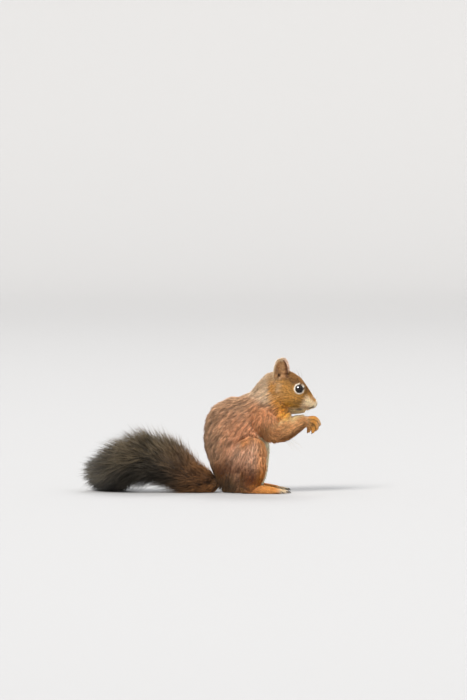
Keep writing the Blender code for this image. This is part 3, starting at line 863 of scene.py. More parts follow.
def face_colours(place):
    """Brown crown, golden cheek, pale muzzle and chin, a ring of cream round each eye, and painted shade
    along the jaw, in mouth and nostrils and under the lip.
    """
    a, s, h = place.local.T
    side = np.abs(s)
    face = np.tile(PALETTE["cheek"], (len(a), 1))
    face = mix(face, "crown", smooth(6, 12, h - 0.10 * side))
    face = mix(face, "ochre", smooth(6, -4, a) * smooth(8, 0, h) * 0.5)
    face = mix(face, "nape", smooth(2, -8, a) * smooth(2, 10, h) * 0.6)
    face = mix(face, "jaw", smooth(-4, -10, h) * smooth(28, 20, a) * 0.8)
    face = mix(face, "olive", 0.30 * bell(near_line(a, h, JAW_SHADE), 2.2) * smooth(3, 6, side))
    face = mix(face, "muzzle", smooth(28, 34, a) * smooth(7.5, 3.5, h + 0.35 * (a - 34)))
    face = mix(face, "forearm", 0.6 * lump(place.local, (35.5, 5.5, -5.5), 3.0))
    chin = smooth(-7.5, -11, h + 0.25 * (30 - a)) * smooth(6, 16, a) * smooth(17, 10, side)
    face = mix(face, "peach", chin)
    face = mix(face, "nose", smooth(41.0, 42.6, a) * (0.5 + 0.5 * smooth(3.6, 2.4, side)))
    face = mix(face, "pink", 0.5 * lump(place.local, (37.5, 2.0, 6.5), 2.0))
    ring = eye_ring(place.local)
    face = mix(face, "ring", smooth(5.8, 5.2, ring))
    face = mix(face, "dark", smooth(4.65, 4.35, ring))
    # painted shade in the mouth's groove, in the nostrils and in the cleft under the nose
    mouth = bell(near_line(a, h, MOUTH), 0.7)
    face = mix(face, "dark", mouth * (0.25 + 0.7 * smooth(37, 40, a)) * smooth(27, 31, a))
    face = mix(face, "dark", lump(place.local, (43.4, 1.9, 0.9), 0.9))
    face = mix(face, "heel", 0.5 * lump(place.local, (44.0, 0, -1.6), 0.8))
    # painted shade under the lip
    return mix(face, "shade_grey", 0.8 * bell(near_line(a, h, LIP_SHADE), 1.6))


# %% Spots and edges of the flanks
SPOTS = [                                  # name, x, z, radius, share
    ("ochre", 47, 109, 3.5, 0.55), ("ochre", 50, 104, 4.5, 0.7), ("ochre", 54, 97.5, 5.0, 0.85),
    # amber is the crook's own orange, painted brighter as light where it lies in shade; peach is painted
    # light on the forearm's top
    ("ochre", 59.5, 91, 6.5, 0.95), ("amber", 58.5, 81.5, 6.0, 0.9), ("peach", 66, 76, 4.0, 0.7),
    # the elbow spot is painted shade in the fold over the thigh
    ("ear_rim", 55, 113, 2.2, 0.6), ("ear_rim", 54, 108.5, 2.2, 0.55), ("elbow", 17, 56, 4.0, 0.5),
    # the dark and heel spots of the paw are painted shade in the fist and between the fingers
    ("dark", 88, 71.5, 2.2, 0.8), ("heel", 84, 67, 2.5, 0.5), ("dark", 78, 73, 1.6, 0.4),
]


def spot(points, x, z, radius):
    """1 on both flanks at a place seen from the side, falling off as a bell curve."""
    return np.exp(-((points[:, 0] - x) ** 2 + (points[:, 2] - z) ** 2) / radius ** 2)


def flank_details(paint, place):
    """The orange collar and the spots, painted light along the top of the thigh and painted shade in the fold
    above it, and the pale nape.
    """
    x, y, z = place.points.T
    outer = smooth(5, 10, np.abs(y) + 6 * (x > 74)) * (1 - place.ear) * (1 - place.of("tail"))
    for name, spot_x, spot_z, radius, share in SPOTS:
        paint = mix(paint, name, share * outer * spot(place.points, spot_x, spot_z, radius))
    edge = thigh_edge(place)
    top = smooth(44, 54, z) * (1 - place.of("upper_arm")) * (1 - place.of("forearm"))
    # painted light along the top of the thigh
    paint = mix(paint, "orange", 0.5 * bell(edge + 3.4, 2.4) * top * smooth(10, 20, x))
    # painted shade in the fold above the thigh
    paint = mix(paint, "heel", 0.85 * bell(edge - 1.2, 1.8) * top * smooth(4, 14, x))
    nape = smooth(47, 41, x) * smooth(98, 106, z + 0.4 * (x - 30)) * (1 - place.ear)
    return mix(paint, "nape", nape * 0.9)


# %% Ears and tail
# The dark spots are painted shade in the pits of the hollow and in the ear's opening, and the tan high in the
# middle is a painted highlight.
# The other browns, tans and the grey are partly the ear's own colour and partly painted light and shade of
# its folds; the pinks are its own.
EAR_PAINT = [                              # name, share, across, up, radius
    ("bark", 0.9, 0.2, 18.0, 2.2), ("tan", 0.8, -0.2, 14.6, 1.9), ("elbow", 0.7, -3.5, 13.3, 2.0),
    ("shade_grey", 0.6, -4.4, 9.4, 2.2), ("tan", 0.8, 2.4, 11.0, 1.5), ("tan", 0.8, 2.2, 7.5, 1.5),
    ("tan", 0.7, -4.6, 3.6, 1.6), ("tan", 0.7, 2.2, 4.4, 1.4), ("pink", 0.7, 0.4, 0.6, 1.3),
    ("pink", 0.7, 0.4, -4.9, 1.5), ("pink", 0.5, -5.0, -3.0, 1.6), ("ear_rim", 0.6, 1.2, -7.4, 1.4),
    ("dark", 1.0, -0.8, 4.1, 1.6), ("dark", 0.9, -2.4, 1.7, 1.2), ("dark", 0.9, 1.0, -1.8, 1.2),
    ("dark", 0.9, -2.0, -4.0, 1.2), ("dark", 0.6, 0.4, -7.9, 0.9),
]


def ear_hollow(place):
    """1 on the hollow side of an ear, 0 behind it."""
    across, through, up = place.ear_local.T
    lift = np.clip(up / EAR_HEIGHT, 0, 1)
    bend = np.arcsin(np.clip(across / ear_half(lift, 0.02) * math.sin(EAR_EDGE), -1, 1))
    return smooth(-0.25, 0.25, through + ear_depth(lift, bend))


def ear_colours(paint, place):
    """Furred behind, thinly haired and brown inside, painted shade along the front of the hollow, pale along
    the rim.
    """
    across, _, up = place.ear_local.T
    hollow = ear_hollow(place)
    paint = mix(paint, "crown", place.ear * 0.8)
    paint = mix(paint, "ear_in", place.ear * hollow)
    half = EAR_WIDTH / 2 * np.sqrt(np.clip(1 - np.clip(up / EAR_HEIGHT, 0, 1) ** 2.2, 0.001, 1))
    front = smooth(0.50, 0.80, across / half)
    # painted shade along the front edge of the hollow
    paint = mix(paint, "umber", place.ear * hollow * front * 0.95)
    paint = mix(paint, "pink", place.ear * (1 - hollow) * front * smooth(5, 9, up) * 0.8)
    rear = np.maximum(smooth(0.78, 0.95, -across / half), smooth(18.8, 20.5, up) * (1 - front))
    paint = mix(paint, "ear_rim", place.ear * rear * 0.9)
    on_head = np.clip(place.of("head"), 0, 1)
    # spots of the hollow, with their painted light and shade
    for name, share, spot_across, spot_up, radius in EAR_PAINT:
        here = ear_spot(place.local, (spot_across, EAR_MIDDLE, spot_up), radius)
        paint = mix(paint, name, share * on_head * here)
    return paint


def tail_colours(place):
    """Rusty at the root, grey-brown further out, with painted shade, almost black, underneath."""
    t = place.share_in("tail")
    brush = mix(np.tile(PALETTE["tail_root"], (len(t), 1)), "tail", smooth(0.02, 0.42, t))
    brush = mix(brush, "tail_end", smooth(0.45, 0.85, t))
    # the tail runs backwards, so that the up side of its path faces the floor
    under = smooth(-0.1, 0.55, np.sin(place.angle[TAIL_PART]))
    # painted shade on the tail's under side
    return mix(brush, "tail_under_shade", under * smooth(0.10, 0.30, t) * 0.9)


# %% All markings
def marking(place):
    """Coat colour at each point."""
    paint = body_colours(place)
    for paint_over in (leg_colours, arm_colours, foot_colours, belly_colours):
        paint = paint_over(paint, place)
    paint = paint + (face_colours(place) - paint) * np.clip(place.of("head"), 0, 1)[:, None]
    paint = ear_colours(flank_details(paint, place), place)
    return paint + (tail_colours(place) - paint) * np.clip(place.of("tail"), 0, 1)[:, None]


skin_place = Place(skin_points)
skin_colour = marking(skin_place)
print("mean colour of the skin:", skin_colour.mean(axis=0).round(3))

# %% [markdown]
# ## A small language for materials
#
# A material is a graph of nodes.  A socket is wrapped in a class whose operators add the Math
# nodes, so that a formula for a surface reads as a formula.

# %% Sockets as numbers
class Wire:
    """A socket that can stand in a formula; each operator adds its Math node."""

    def __init__(self, socket):
        self.socket = socket

    def math(self, operation, other, turned=False):
        """A Math node of this wire and another value, or with turned of the value and this wire."""
        node = self.socket.id_data.nodes.new("ShaderNodeMath")
        node.operation = operation
        pair = (other, self) if turned else (self, other)
        for slot, value in zip(node.inputs, pair):
            feed(slot, value)
        return Wire(node.outputs[0])

    def __add__(self, other):
        return self.math("ADD", other)

    def __radd__(self, other):
        return self.math("ADD", other, turned=True)

    def __sub__(self, other):
        return self.math("SUBTRACT", other)

    def __rsub__(self, other):
        return self.math("SUBTRACT", other, turned=True)

    def __mul__(self, other):
        return self.math("MULTIPLY", other)

    def __rmul__(self, other):
        return self.math("MULTIPLY", other, turned=True)


def feed(slot, value):
    """Links a socket to a wire, or sets its value."""
    if isinstance(value, Wire):
        slot.id_data.links.new(value.socket, slot)
    else:
        slot.default_value = value


# %% A finish
class Finish:
    """A material that is being put together."""

    def __init__(self, name, **constants):
        self.material = bpy.data.materials.new(name)
        self.material.use_nodes = True
        self.tree = self.material.node_tree
        self.shader = self.tree.nodes["Principled BSDF"]
        self.set(**constants)

    def set(self, **values):
        """Values or links of the shader's sockets, named with _ in place of a space."""
        for name, value in values.items():
            feed(self.shader.inputs[name.replace("_", " ")], value)

    def node(self, kind, settings=None, output=0, **values):
        """Any node: its settings first, then the values or links of its sockets.

        A socket is given by its name, or as i0, i1 and so on where names are not unique.
        """
        node = self.tree.nodes.new("ShaderNode" + kind)
        for name, value in (settings or {}).items():
            setattr(node, name, value)
        for name, value in values.items():
            numbered = name[0] == "i" and name[1:].isdigit()
            feed(node.inputs[int(name[1:]) if numbered else name], value)
        return Wire(node.outputs[output])

    def attribute(self, name, output="Fac"):
        """A value, or with output Color a colour, that the mesh brings along."""
        return self.node("Attribute", {"attribute_name": name}, output)

    def blend(self, share, first, second, how="MIX"):
        """Two colours mixed by a share."""
        return self.node("Mix", {"data_type": "RGBA", "blend_type": how}, 2, i0=share, i6=first, i7=second)

    def tint(self, red, green, blue):
        """A colour from three values."""
        return self.node("CombineColor", Red=red, Green=green, Blue=blue)

    def noise(self, scale, detail=2.0):
        """Noise over the object's own coordinates, `scale` waves to a metre."""
        place = self.node("TexCoord", output="Object")
        return self.node("TexNoise", Vector=place, Scale=scale, Detail=detail)


def set_attribute(mesh, name, kind, values):
    """Puts a value or a colour on every point of a mesh."""
    layer = mesh.attributes.new(name, kind, "POINT")
    key = "color" if kind == "FLOAT_COLOR" else "value"
    layer.data.foreach_set(key, np.ascontiguousarray(values, dtype=np.float32).ravel())


def with_alpha(paint):
    """Colours with a fourth value of 1."""
    return np.column_stack([paint, np.ones(len(paint))])


# %% [markdown]
# ### Skin and short fur
#
# Under the tufts the skin wears the same colours, darker, as underfur in the shade does, with a
# fine grain of short hair as bump.

# %% The skin's finish
GRAIN_WAVES, GRAIN_DEPTH = 900.0, 0.0006  # waves to a metre, metres
skin_finish = Finish("underfur", Roughness=0.75)
grain = skin_finish.noise(GRAIN_WAVES, 3.0)
tone = skin_finish.attribute("coat_colour", "Color")
shade = 0.60 + 0.35 * grain
shaded = skin_finish.blend(1.0, tone, skin_finish.tint(shade, shade, shade), "MULTIPLY")
skin_finish.set(Base_Color=shaded)
skin_finish.set(Normal=skin_finish.node("Bump", Strength=0.5, Distance=GRAIN_DEPTH, Height=grain))
set_attribute(skin.data, "coat_colour", "FLOAT_COLOR", with_alpha(skin_colour))
skin.data.materials.append(skin_finish.material)
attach(skin, "root")
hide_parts("head", "neck", "trunk", *[f"tail_{i}" for i in range(1, 6)],
            *[f"{part}_{name}" for name, _ in SIDES
              for part in ("ear", "upper_arm", "forearm", "forepaw", "thigh", "shin", "hind_foot")])
print("underfur:", len(skin_finish.tree.nodes), "nodes")

# %% [markdown]
# ## The coat
#
# A coat has far more hairs than a mesh can hold, but hairs cling together in fine pointed
# tufts, and those can be modelled: each is a closed, three-sided, tapering strand.  Its root
# stands on the skin, it rises at an angle, bends over towards the tail end of the body, and
# lies on the tufts behind it.  Neighbouring tufts lean towards a shared point and so form
# locks, with dark gaps between them.  Fine streaks, lighter and longer or darker and shorter,
# run along the hair.  All tufts of a piece are worked out as one array.

# %% How the hair grows on each kind of part
# length and width of a tuft in mm, rise at the root in degrees, tufts on a square millimetre
GROWTH = {
    "trunk": (8.6, 0.46, 23, 2.4), "head": (3.3, 0.32, 22, 4.8), "tail": (20.0, 0.58, 54, 3.5),
    "upper_arm": (6.4, 0.42, 24, 2.5), "forearm": (4.2, 0.36, 22, 3.1), "paw": (1.9, 0.30, 16, 4.5),
    "finger": (1.2, 0.26, 14, 4.5), "thigh": (6.8, 0.43, 25, 2.3), "shin": (5.0, 0.40, 23, 2.5),
    "foot": (2.2, 0.32, 14, 4.2), "toe": (1.4, 0.28, 12, 4.5),
}
GROWTH = {kind: np.array(values, dtype=float) for kind, values in GROWTH.items()}
DENSITY_SHARE = 1.0
print("share of the tufts that is grown:", DENSITY_SHARE)


def growth(place):
    """Length, width, rise and density of the hair at each point, from the parts' own values."""
    values = sum(place.weight[i][:, None] * GROWTH[part.kind] for i, part in enumerate(parts)).T.copy()
    length, width, rise, density = values
    a, s, _ = place.local.T
    head = place.of("head")
    muzzle = smooth(20, 38, a) * head
    length *= 1 - 0.62 * muzzle
    width *= 1 - 0.25 * muzzle
    density *= 1 + 0.3 * muzzle
    belly = place.of("trunk") * smooth(0.3, 0.8, -np.sin(place.angle[TRUNK_PART]))
    length *= 1 - 0.30 * belly
    # the tail's hair reaches out to the solid's own size
    ahead = place.share_in("tail") + 0.09
    coat_depth = np.interp(ahead, along(tail_rows) / along(tail_rows)[-1], tail_coat)
    full = (1.20 * coat_depth + 5) * (1 - 0.4 * smooth(0.80, 1.0, place.share_in("tail")))
    length += place.of("tail") * (full - GROWTH["tail"][0])
    length *= 1 - 0.6 * thigh_top(place) * bell(thigh_edge(place) - 2.5, 4)
    nape = spot(place.points, 35, 114, 10) * smooth(14, 6, np.abs(place.points[:, 1]))
    rise += 12 * nape
    length += 2.5 * nape
    # short hair round the eyes and in the ears, none on the ball, the nose and the lips' edge
    ring = eye_ring(place.local)
    length *= 1 - 0.80 * head * smooth(9, 5.5, ring)
    rise *= 1 - 0.35 * head * smooth(9, 5.5, ring)
    density *= (1 + 0.6 * head * smooth(8, 6.5, ring)) * (1 - head * smooth(4.7, 4.5, ring))
    density *= 1 - head * smooth(43.2, 43.7, a + 0.5 * smooth(3.4, 2.0, np.abs(s)))
    ear = place.ear
    hollow = ear * ear_hollow(place)
    length += ear * (2.6 - length)
    length -= 0.9 * hollow
    width += ear * (0.27 - width)
    rise += ear * (18 - rise)
    density += ear * (4.5 - density)
    density *= 1 - 0.65 * hollow
    # thin, short hair over the ear's pit and opening, where painted shade shows through
    density *= 1 - 0.8 * ear_spot(place.local, (-0.8, EAR_MIDDLE, 4.1), 1.8)
    length *= 1 - 0.6 * np.clip(ear_spot(place.local, (-0.3, EAR_MIDDLE, -2.5), 4.5), 0, 1)
    return length, width, rise, density


# %% Which way the hair lies
def unit(vectors):
    """The same directions, one long."""
    return vectors / np.maximum(np.linalg.norm(vectors, axis=1), 1e-9)[:, None]


def waves(points, size, seed, count=7):
    """Smooth random values between about -1 and 1: a sum of sine waves of that size, in mm."""
    draw = np.random.default_rng(seed)
    heading = draw.normal(size=(count, 3))
    heading *= (2 * math.pi / size) / np.linalg.norm(heading, axis=1)[:, None]
    swing = np.sin(points @ heading.T + draw.uniform(0, 2 * math.pi, count))
    return swing.sum(axis=1) / (1.13 * count ** 0.5)


def lie(place, normal):
    """The direction in the skin in which the hair points.

    It is the mean of the parts' own directions, turned outwards round the eyes and upwards on
    the ears, laid flat on the skin and turned a little to and fro.
    """
    flow = np.zeros_like(place.points)
    # on the flanks the hair sweeps back as well as down
    sweep = 0.25 + 0.45 * bell(place.points[:, 2] - 60, 20)
    for i, part in enumerate(parts):
        ahead = place.ahead[i]
        heading = {
            "trunk": -ahead + sweep[:, None] * (-1, 0, 0), "head": -ahead + (0, 0, -0.25),
            "upper_arm": 0.5 * ahead + (-0.30, 0, -0.45), "thigh": np.array((-0.35, 0, -0.94)),
            "shin": ahead + (-0.15, 0, -0.2),
        }.get(part.kind, ahead)
        flow += place.weight[i][:, None] * heading
    near = smooth(9.0, 6.0, eye_ring(place.local)) * place.of("head")
    for _, side in SIDES:
        away = eye_polar(place.local, side)[0]
        outward = (away - (away @ EYE_LOOK)[:, None] * EYE_LOOK) * (1, side, 1)
        this_side = place.local[:, 1] * side > 0
        flow += 2.5 * (near * this_side)[:, None] * unit(outward) @ head_matrix[:3, :3].T
        up = (ear_turn @ (0, 0, 1)) * (1, side, 1)
        flow += 3.0 * (place.ear * this_side)[:, None] * (head_matrix[:3, :3] @ up)
    flow -= normal * (flow * normal).sum(axis=1)[:, None]
    flow = unit(flow)
    turn = 0.12 * waves(place.points, 26, 5) + 0.06 * waves(place.points, 9, 6)
    return unit(flow * np.cos(turn)[:, None] + np.cross(normal, flow) * np.sin(turn)[:, None])


# %% Sow the roots
skin_growth = growth(skin_place)
skin_lie = lie(skin_place, skin_normals)
corner = skin_points[skin_triangles]
square = np.cross(corner[:, 1] - corner[:, 0], corner[:, 2] - corner[:, 0])
triangle_area = np.linalg.norm(square, axis=1) / 2
triangle_tufts = triangle_area * skin_growth[3][skin_triangles].mean(axis=1)
nearest_part = skin_place.part[skin_triangles[:, 0]]
nearest_kind = np.array([part.kind for part in parts])[nearest_part]
middle = corner.mean(axis=1)
print("skin area, square mm:", round(triangle_area.sum()), " tufts:", round(triangle_tufts.sum()))


class Roots:
    """Random points of the chosen triangles of the skin, with the values of the skin there."""

    def __init__(self, chosen, seed):
        draw = np.random.default_rng(seed)
        share = triangle_tufts * chosen
        count = int(share.sum() * DENSITY_SHARE)
        tri = np.searchsorted(np.cumsum(share) / share.sum(), draw.random(count))
        tri = skin_triangles[np.minimum(tri, len(skin_triangles) - 1)]
        first, second = draw.random((2, count))
        flip = first + second > 1
        first, second = np.where(flip, 1 - first, first), np.where(flip, 1 - second, second)
        weight = np.stack([1 - first - second, first, second], 1)[:, :, None]
        self.points = (skin_points[tri] * weight).sum(axis=1)
        self.normal = unit((skin_normals[tri] * weight).sum(axis=1))
        self.flow = unit((skin_lie[tri] * weight).sum(axis=1))
        self.paint = (skin_colour[tri] * weight).sum(axis=1)
        self.length, self.width, self.rise = [
            (values[tri] * weight[:, :, 0]).sum(axis=1) for values in skin_growth[:3]]
        self.part = skin_place.part[tri[:, 0]]
        self.count, self.draw = count, draw


# %% Streaks and locks
TUFT_BATCH = 4000                         # tufts at a time, to spare memory


def streaks(roots, size, seed):
    """Waves averaged over a short way along the hair, which leaves streaks that follow it."""
    steps = np.linspace(-1.8, 1.8, 9) * size
    mean = sum(waves(roots.points + step * roots.flow, size, seed, 36) for step in steps)
    return np.clip(mean / mean.std(), -2, 2)


def shared_tips(points, spacing, draw):
    """For each tuft, the nearest of some chosen tufts, about `spacing` mm apart, and its lock."""
    area = 6.0 * spacing ** 2
    spread = np.ptp(points, axis=0)
    box = 2 * (spread[0] * spread[1] + spread[1] * spread[2] + spread[0] * spread[2])
    count = int(np.clip(box / area, 20, len(points) / 3))
    chosen = draw.choice(len(points), count, replace=False)
    nearest = np.empty(len(points), dtype=np.int64)
    for first in range(0, len(points), TUFT_BATCH):
        here = points[first:first + TUFT_BATCH]
        away = (here ** 2).sum(1)[:, None] - 2 * here @ points[chosen].T + (points[chosen] ** 2).sum(1)
        nearest[first:first + TUFT_BATCH] = away.argmin(axis=1)
    return chosen[nearest], nearest


# %% The line of a tuft
def tuft_lines(roots, crest, rings, fall, pull, lock, spread, wild):
    """Middle lines of all tufts, the way they set out, and the number of each one's lock.

    A line starts at its rise above the skin and bends evenly to `fall` degrees.  `spread` is
    how far it is turned sideways, in radians.  `pull` of the way its tip moves to the shared
    tip of its lock, and `wild` then shifts the tip at random, in fifths of its length.
    """
    draw, count = roots.draw, roots.count
    length = roots.length * draw.uniform(0.78, 1.18, count) * (1 + 0.06 * crest)
    rise = np.radians(roots.rise * draw.uniform(0.6, 1.4, count) * (1 + 0.18 * crest))
    turn = draw.normal(0, spread, count)[:, None]
    flow = roots.flow * np.cos(turn) + np.cross(roots.normal, roots.flow) * np.sin(turn)
    t = np.linspace(0, 1, rings + 1)
    slope = rise[:, None] * (1 - t[1:] + 0.5 / rings) + math.radians(fall) * t[1:]
    step = (length / rings)[:, None, None] * (np.cos(slope)[..., None] * flow[:, None]
                                              + np.sin(slope)[..., None] * roots.normal[:, None])
    line = np.concatenate([np.zeros((count, 1, 3)), np.cumsum(step, axis=1)], axis=1)
    line = line + roots.points[:, None]
    leader, lock_number = shared_tips(roots.points, lock, draw)
    move = (line[leader, -1] - line[:, -1]) * (pull * draw.uniform(0.6, 1.2, count))[:, None]
    line += move[:, None] * (t ** 1.5)[None, :, None]
    stray = draw.normal(0, wild, (count, 3)) * length[:, None] * 0.2
    line += stray[:, None] * (t ** 2)[None, :, None]
    return line, flow, lock_number


def tuft_points(roots, line, flow):
    """Three points round every place of the middle lines but the last, which is the tip.

    Half the width grows from 0.75 at the root to the full value at a third of the length and
    shrinks to 0.35 at the last ring, and the thickness is 0.6 of the width.  Hair that would
    dip into the floor is bent up, so that it stays 0.15 mm above it.
    """
    across = unit(np.cross(flow, roots.normal))
    upward = np.cross(across, unit(line[:, -1] - line[:, 0]))
    half = roots.width * roots.draw.uniform(0.75, 1.25, roots.count) / 2
    taper = np.interp(np.linspace(0, 1, line.shape[1])[:-1], [0, 0.35, 1], [0.75, 1.0, 0.35])
    turn = np.radians([90.0, 210.0, 330.0])
    ring = (across[:, None, None] * np.cos(turn)[None, None, :, None]
            + 0.6 * upward[:, None, None] * np.sin(turn)[None, None, :, None])
    ring = line[:, :-1, None] + ring * (half[:, None] * taper)[:, :, None, None]
    points = np.concatenate([ring.reshape(roots.count, -1, 3), line[:, -1:]], axis=1)
    low = points[..., 2]
    points[..., 2] = np.where(low < 0.6, 0.15 + 0.45 * np.exp(np.minimum(low - 0.6, 0) / 3), low)
    return points


# %% The mesh of all tufts
PATCH = 0.003                             # side of one tuft's patch on the map


def tuft_faces(rings):
    """Corners and map places of one tuft's faces: sides, point and closed root.

    The points are three to a ring, then the tip.  The map square is shared out so that every
    face has a patch of its own with some area.
    """
    faces, places = [], []
    for r in range(rings - 1):
        for k in range(3):
            low, high = 3 * r, 3 * (r + 1)
            faces.append((low + k, high + k, high + (k + 1) % 3, low + (k + 1) % 3))
            v = 0.1 + 0.9 * np.array([r, r + 1]) / rings
            places += [(k / 3, v[0]), (k / 3, v[1]), ((k + 1) / 3, v[1]), ((k + 1) / 3, v[0])]
    for k in range(3):
        low = 3 * (rings - 1)
        faces.append((low + k, 3 * rings, low + (k + 1) % 3))
        v = 1 - 0.9 / rings
        places += [(k / 3, v), ((k + 0.5) / 3, 1), ((k + 1) / 3, v)]
    faces.append((0, 1, 2))
    places += [(0.1, 0), (0.9, 0), (0.5, 0.08)]
    return faces, np.array(places)


def coat_map(roots):
    """Where each root lies on an unwrap of the skin: round the part, and along it.

    Every part of the piece has its own band of the map, as wide as the part is long, in which
    u is the angle round the path and v the distance along it.
    """
    place = Place(roots.points)
    used = np.unique(roots.part)
    ends = np.concatenate([[0], np.cumsum([along(parts[i].skin)[-1] for i in used])])
    band = np.searchsorted(used, roots.part)
    pick = roots.part, np.arange(roots.count)
    v = ends[band] + place.share[pick] * np.diff(ends)[band]
    chart = np.stack([place.angle[pick], v], 1)
    chart -= chart.min(axis=0)
    return 0.004 + chart / chart.max(axis=0) * (0.992 - PATCH)


def tuft_mesh(name, points, chart):
    """A mesh in which every tuft has the same faces, each tuft's points counted on."""
    count, per_tuft = points.shape[:2]
    faces, places = tuft_faces(per_tuft // 3)
    corners = np.concatenate([np.array(face) for face in faces])
    corners = (corners + per_tuft * np.arange(count)[:, None]).ravel()
    sizes = np.tile([len(face) for face in faces], count)
    starts = np.concatenate([[0], np.cumsum(sizes)[:-1]])
    mesh = bpy.data.meshes.new(name)
    mesh.vertices.add(count * per_tuft)
    mesh.vertices.foreach_set("co", ((points.reshape(-1, 3) + SHIFT) * MM).ravel())
    mesh.loops.add(len(corners))
    mesh.loops.foreach_set("vertex_index", corners.astype(np.int32))
    mesh.polygons.add(len(sizes))
    mesh.polygons.foreach_set("loop_start", starts.astype(np.int32))
    mesh.polygons.foreach_set("loop_total", sizes.astype(np.int32))
    mesh.update(calc_edges=True)
    mesh.shade_smooth()
    layer = mesh.uv_layers.new(name="OFBake")
    spread = chart[:, None] + places * PATCH
    layer.data.foreach_set("uv", spread.astype(np.float32).ravel())
    return mesh, int((sizes - 2).sum())


# %% One piece of the coat
def grow(name, roots, finish, slot, *, pull, lock, mottle, streak=3.0, single=0.45,
         rings=2, fall=6.0, spread=0.10, wild=0.18):
    """Grows a tuft on every root and returns the number of triangles.

    Streaks of `streak` mm, and others 2.3 times as wide, make the hair longer and steeper where
    they make it lighter.  `mottle` is how much lighter or darker: by the streaks, by the lock,
    and, `single` times as much, by each tuft on its own.
    """
    draw, count = roots.draw, roots.count
    crest = 0.85 * streaks(roots, streak, 8)
    crest += 0.45 * streaks(roots, 2.3 * streak, 9)
    line, flow, lock_number = tuft_lines(roots, crest, rings, fall, pull, lock, spread, wild)
    points = tuft_points(roots, line, flow)
    per_tuft = points.shape[1]
    mesh, triangles = tuft_mesh(name, points, coat_map(roots))
    tone = 1 + mottle * (single * draw.normal(size=count) + 0.6 * np.sin(lock_number * 2.4) + 0.8 * crest)
    paint = np.clip(roots.paint * np.clip(tone, 0.45, 2.0)[:, None], 0, 1)
    share = np.append(np.repeat(np.linspace(0, 1, rings + 1)[:-1], 3), 1.0)
    set_attribute(mesh, "coat_colour", "FLOAT_COLOR", with_alpha(np.repeat(paint, per_tuft, axis=0)))
    set_attribute(mesh, "along", "FLOAT", np.tile(share, count))
    set_attribute(mesh, "chance", "FLOAT", np.repeat(draw.random(count), per_tuft))
    obj = bpy.data.objects.new(name, mesh)
    bpy.context.scene.collection.objects.link(obj)
    mesh.materials.append(finish.material)
    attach(obj, "root")
    print(f"{name}: {count} tufts, {triangles} triangles")
    return triangles


# %% Finishes of the hair
def hair_finish(name, root_shade, tip_shade, roughness):
    """Hair darker towards its root, a little different from tuft to tuft."""
    finish = Finish(name, Roughness=roughness, Specular_IOR_Level=0.28, Sheen_Weight=0.08,
                    Sheen_Roughness=0.5)
    along_hair, chance = finish.attribute("along"), finish.attribute("chance")
    shade = (root_shade + (tip_shade - root_shade) * along_hair) * (0.88 + 0.24 * chance)
    tone = finish.tint(shade, shade, shade * (0.92 + 0.16 * chance))
    coat = finish.attribute("coat_colour", "Color")
    finish.set(Base_Color=finish.blend(1.0, coat, tone, "MULTIPLY"))
    return finish


red_hair = hair_finish("red_hair", 0.60, 1.42, 0.62)
brush_hair = hair_finish("brush_hair", 0.55, 1.45, 0.55)
print("hair:", len(red_hair.tree.nodes), "nodes to a finish")

# %% Grow every piece
TRUNK_COATS = (("back", 68, 999, 9), ("flanks", 38, 68, 11), ("rump", -999, 38, 9))
LIMB_COATS = (("legs", ("thigh", "shin", "foot", "toe"), 20, "coat_red",
               {"pull": 0.34, "lock": 1.6, "streak": 2.2, "mottle": 0.23}),
              ("arms", ("upper_arm", "forearm", "paw", "finger"), 30, "coat_orange",
               {"pull": 0.36, "lock": 1.5, "streak": 2.0, "mottle": 0.15}),
              ("head", ("head",), 40, "coat_red",
               {"pull": 0.32, "lock": 1.4, "streak": 1.5, "mottle": 0.13}))
TAIL_COATS = (("root", -1, 0.30, 54), ("middle", 0.30, 0.62, 56), ("end", 0.62, 2, 53))

total = 0
for name, low, high, seed in TRUNK_COATS:                              # heights in mm
    here = (nearest_kind == "trunk") & (middle[:, 2] > low) & (middle[:, 2] <= high)
    total += grow(f"coat_{name}", Roots(here, seed), red_hair, "coat_red", fall=5, pull=0.42,
                  lock=1.7, streak=2.4, mottle=0.27)
for side_name, side in SIDES:
    for name, kinds, seed, slot, habit in LIMB_COATS:
        here = np.isin(nearest_kind, kinds) & (middle[:, 1] * side > 0)
        total += grow(f"coat_{name}_{side_name}", Roots(here, seed + side), red_hair, slot, **habit)
tail_share = skin_place.share[TAIL_PART][skin_triangles[:, 0]]
for name, low, high, seed in TAIL_COATS:                               # shares of its length
    here = (nearest_kind == "tail") & (tail_share > low) & (tail_share <= high)
    total += grow(f"coat_tail_{name}", Roots(here, seed), brush_hair, "coat_tail", rings=3, fall=28,
                  pull=0.20, lock=2.6, spread=0.24, wild=0.30, mottle=0.42, single=1.0)
print("coat:", total, "triangles")

# %% [markdown]
# ## Eyes
#
# A squirrel's eye is almost black all over, very glossy, with a trace of brown where the iris
# catches light.  Each is a whole ball set behind the lids, as in life, and not a cap on the
# skin.  The surface is so smooth that a lamp shows in it as one clear bright patch.

# %% Eyeballs
def ball(centre, radius, sides=48, rings=24):
    """Points and faces of a sphere: rings at even angles between two poles.

    A point is centre + radius·(sin a·cos b, sin a·sin b, cos a).
    """
    tilt = np.linspace(0, math.pi, rings + 1)[1:-1, None]
    turn = np.arange(sides) * (2 * math.pi / sides)
    ring = np.stack([np.sin(tilt) * np.cos(turn), np.sin(tilt) * np.sin(turn),
                     np.cos(tilt) + 0 * turn], -1)
    index = np.arange((rings - 1) * sides).reshape(-1, sides)
    points = np.vstack([ring.reshape(-1, 3), [[0, 0, 1], [0, 0, -1]]])
    return points * radius + centre, ring_faces(index, flipped=True) + pole_faces(index, flipped=True)


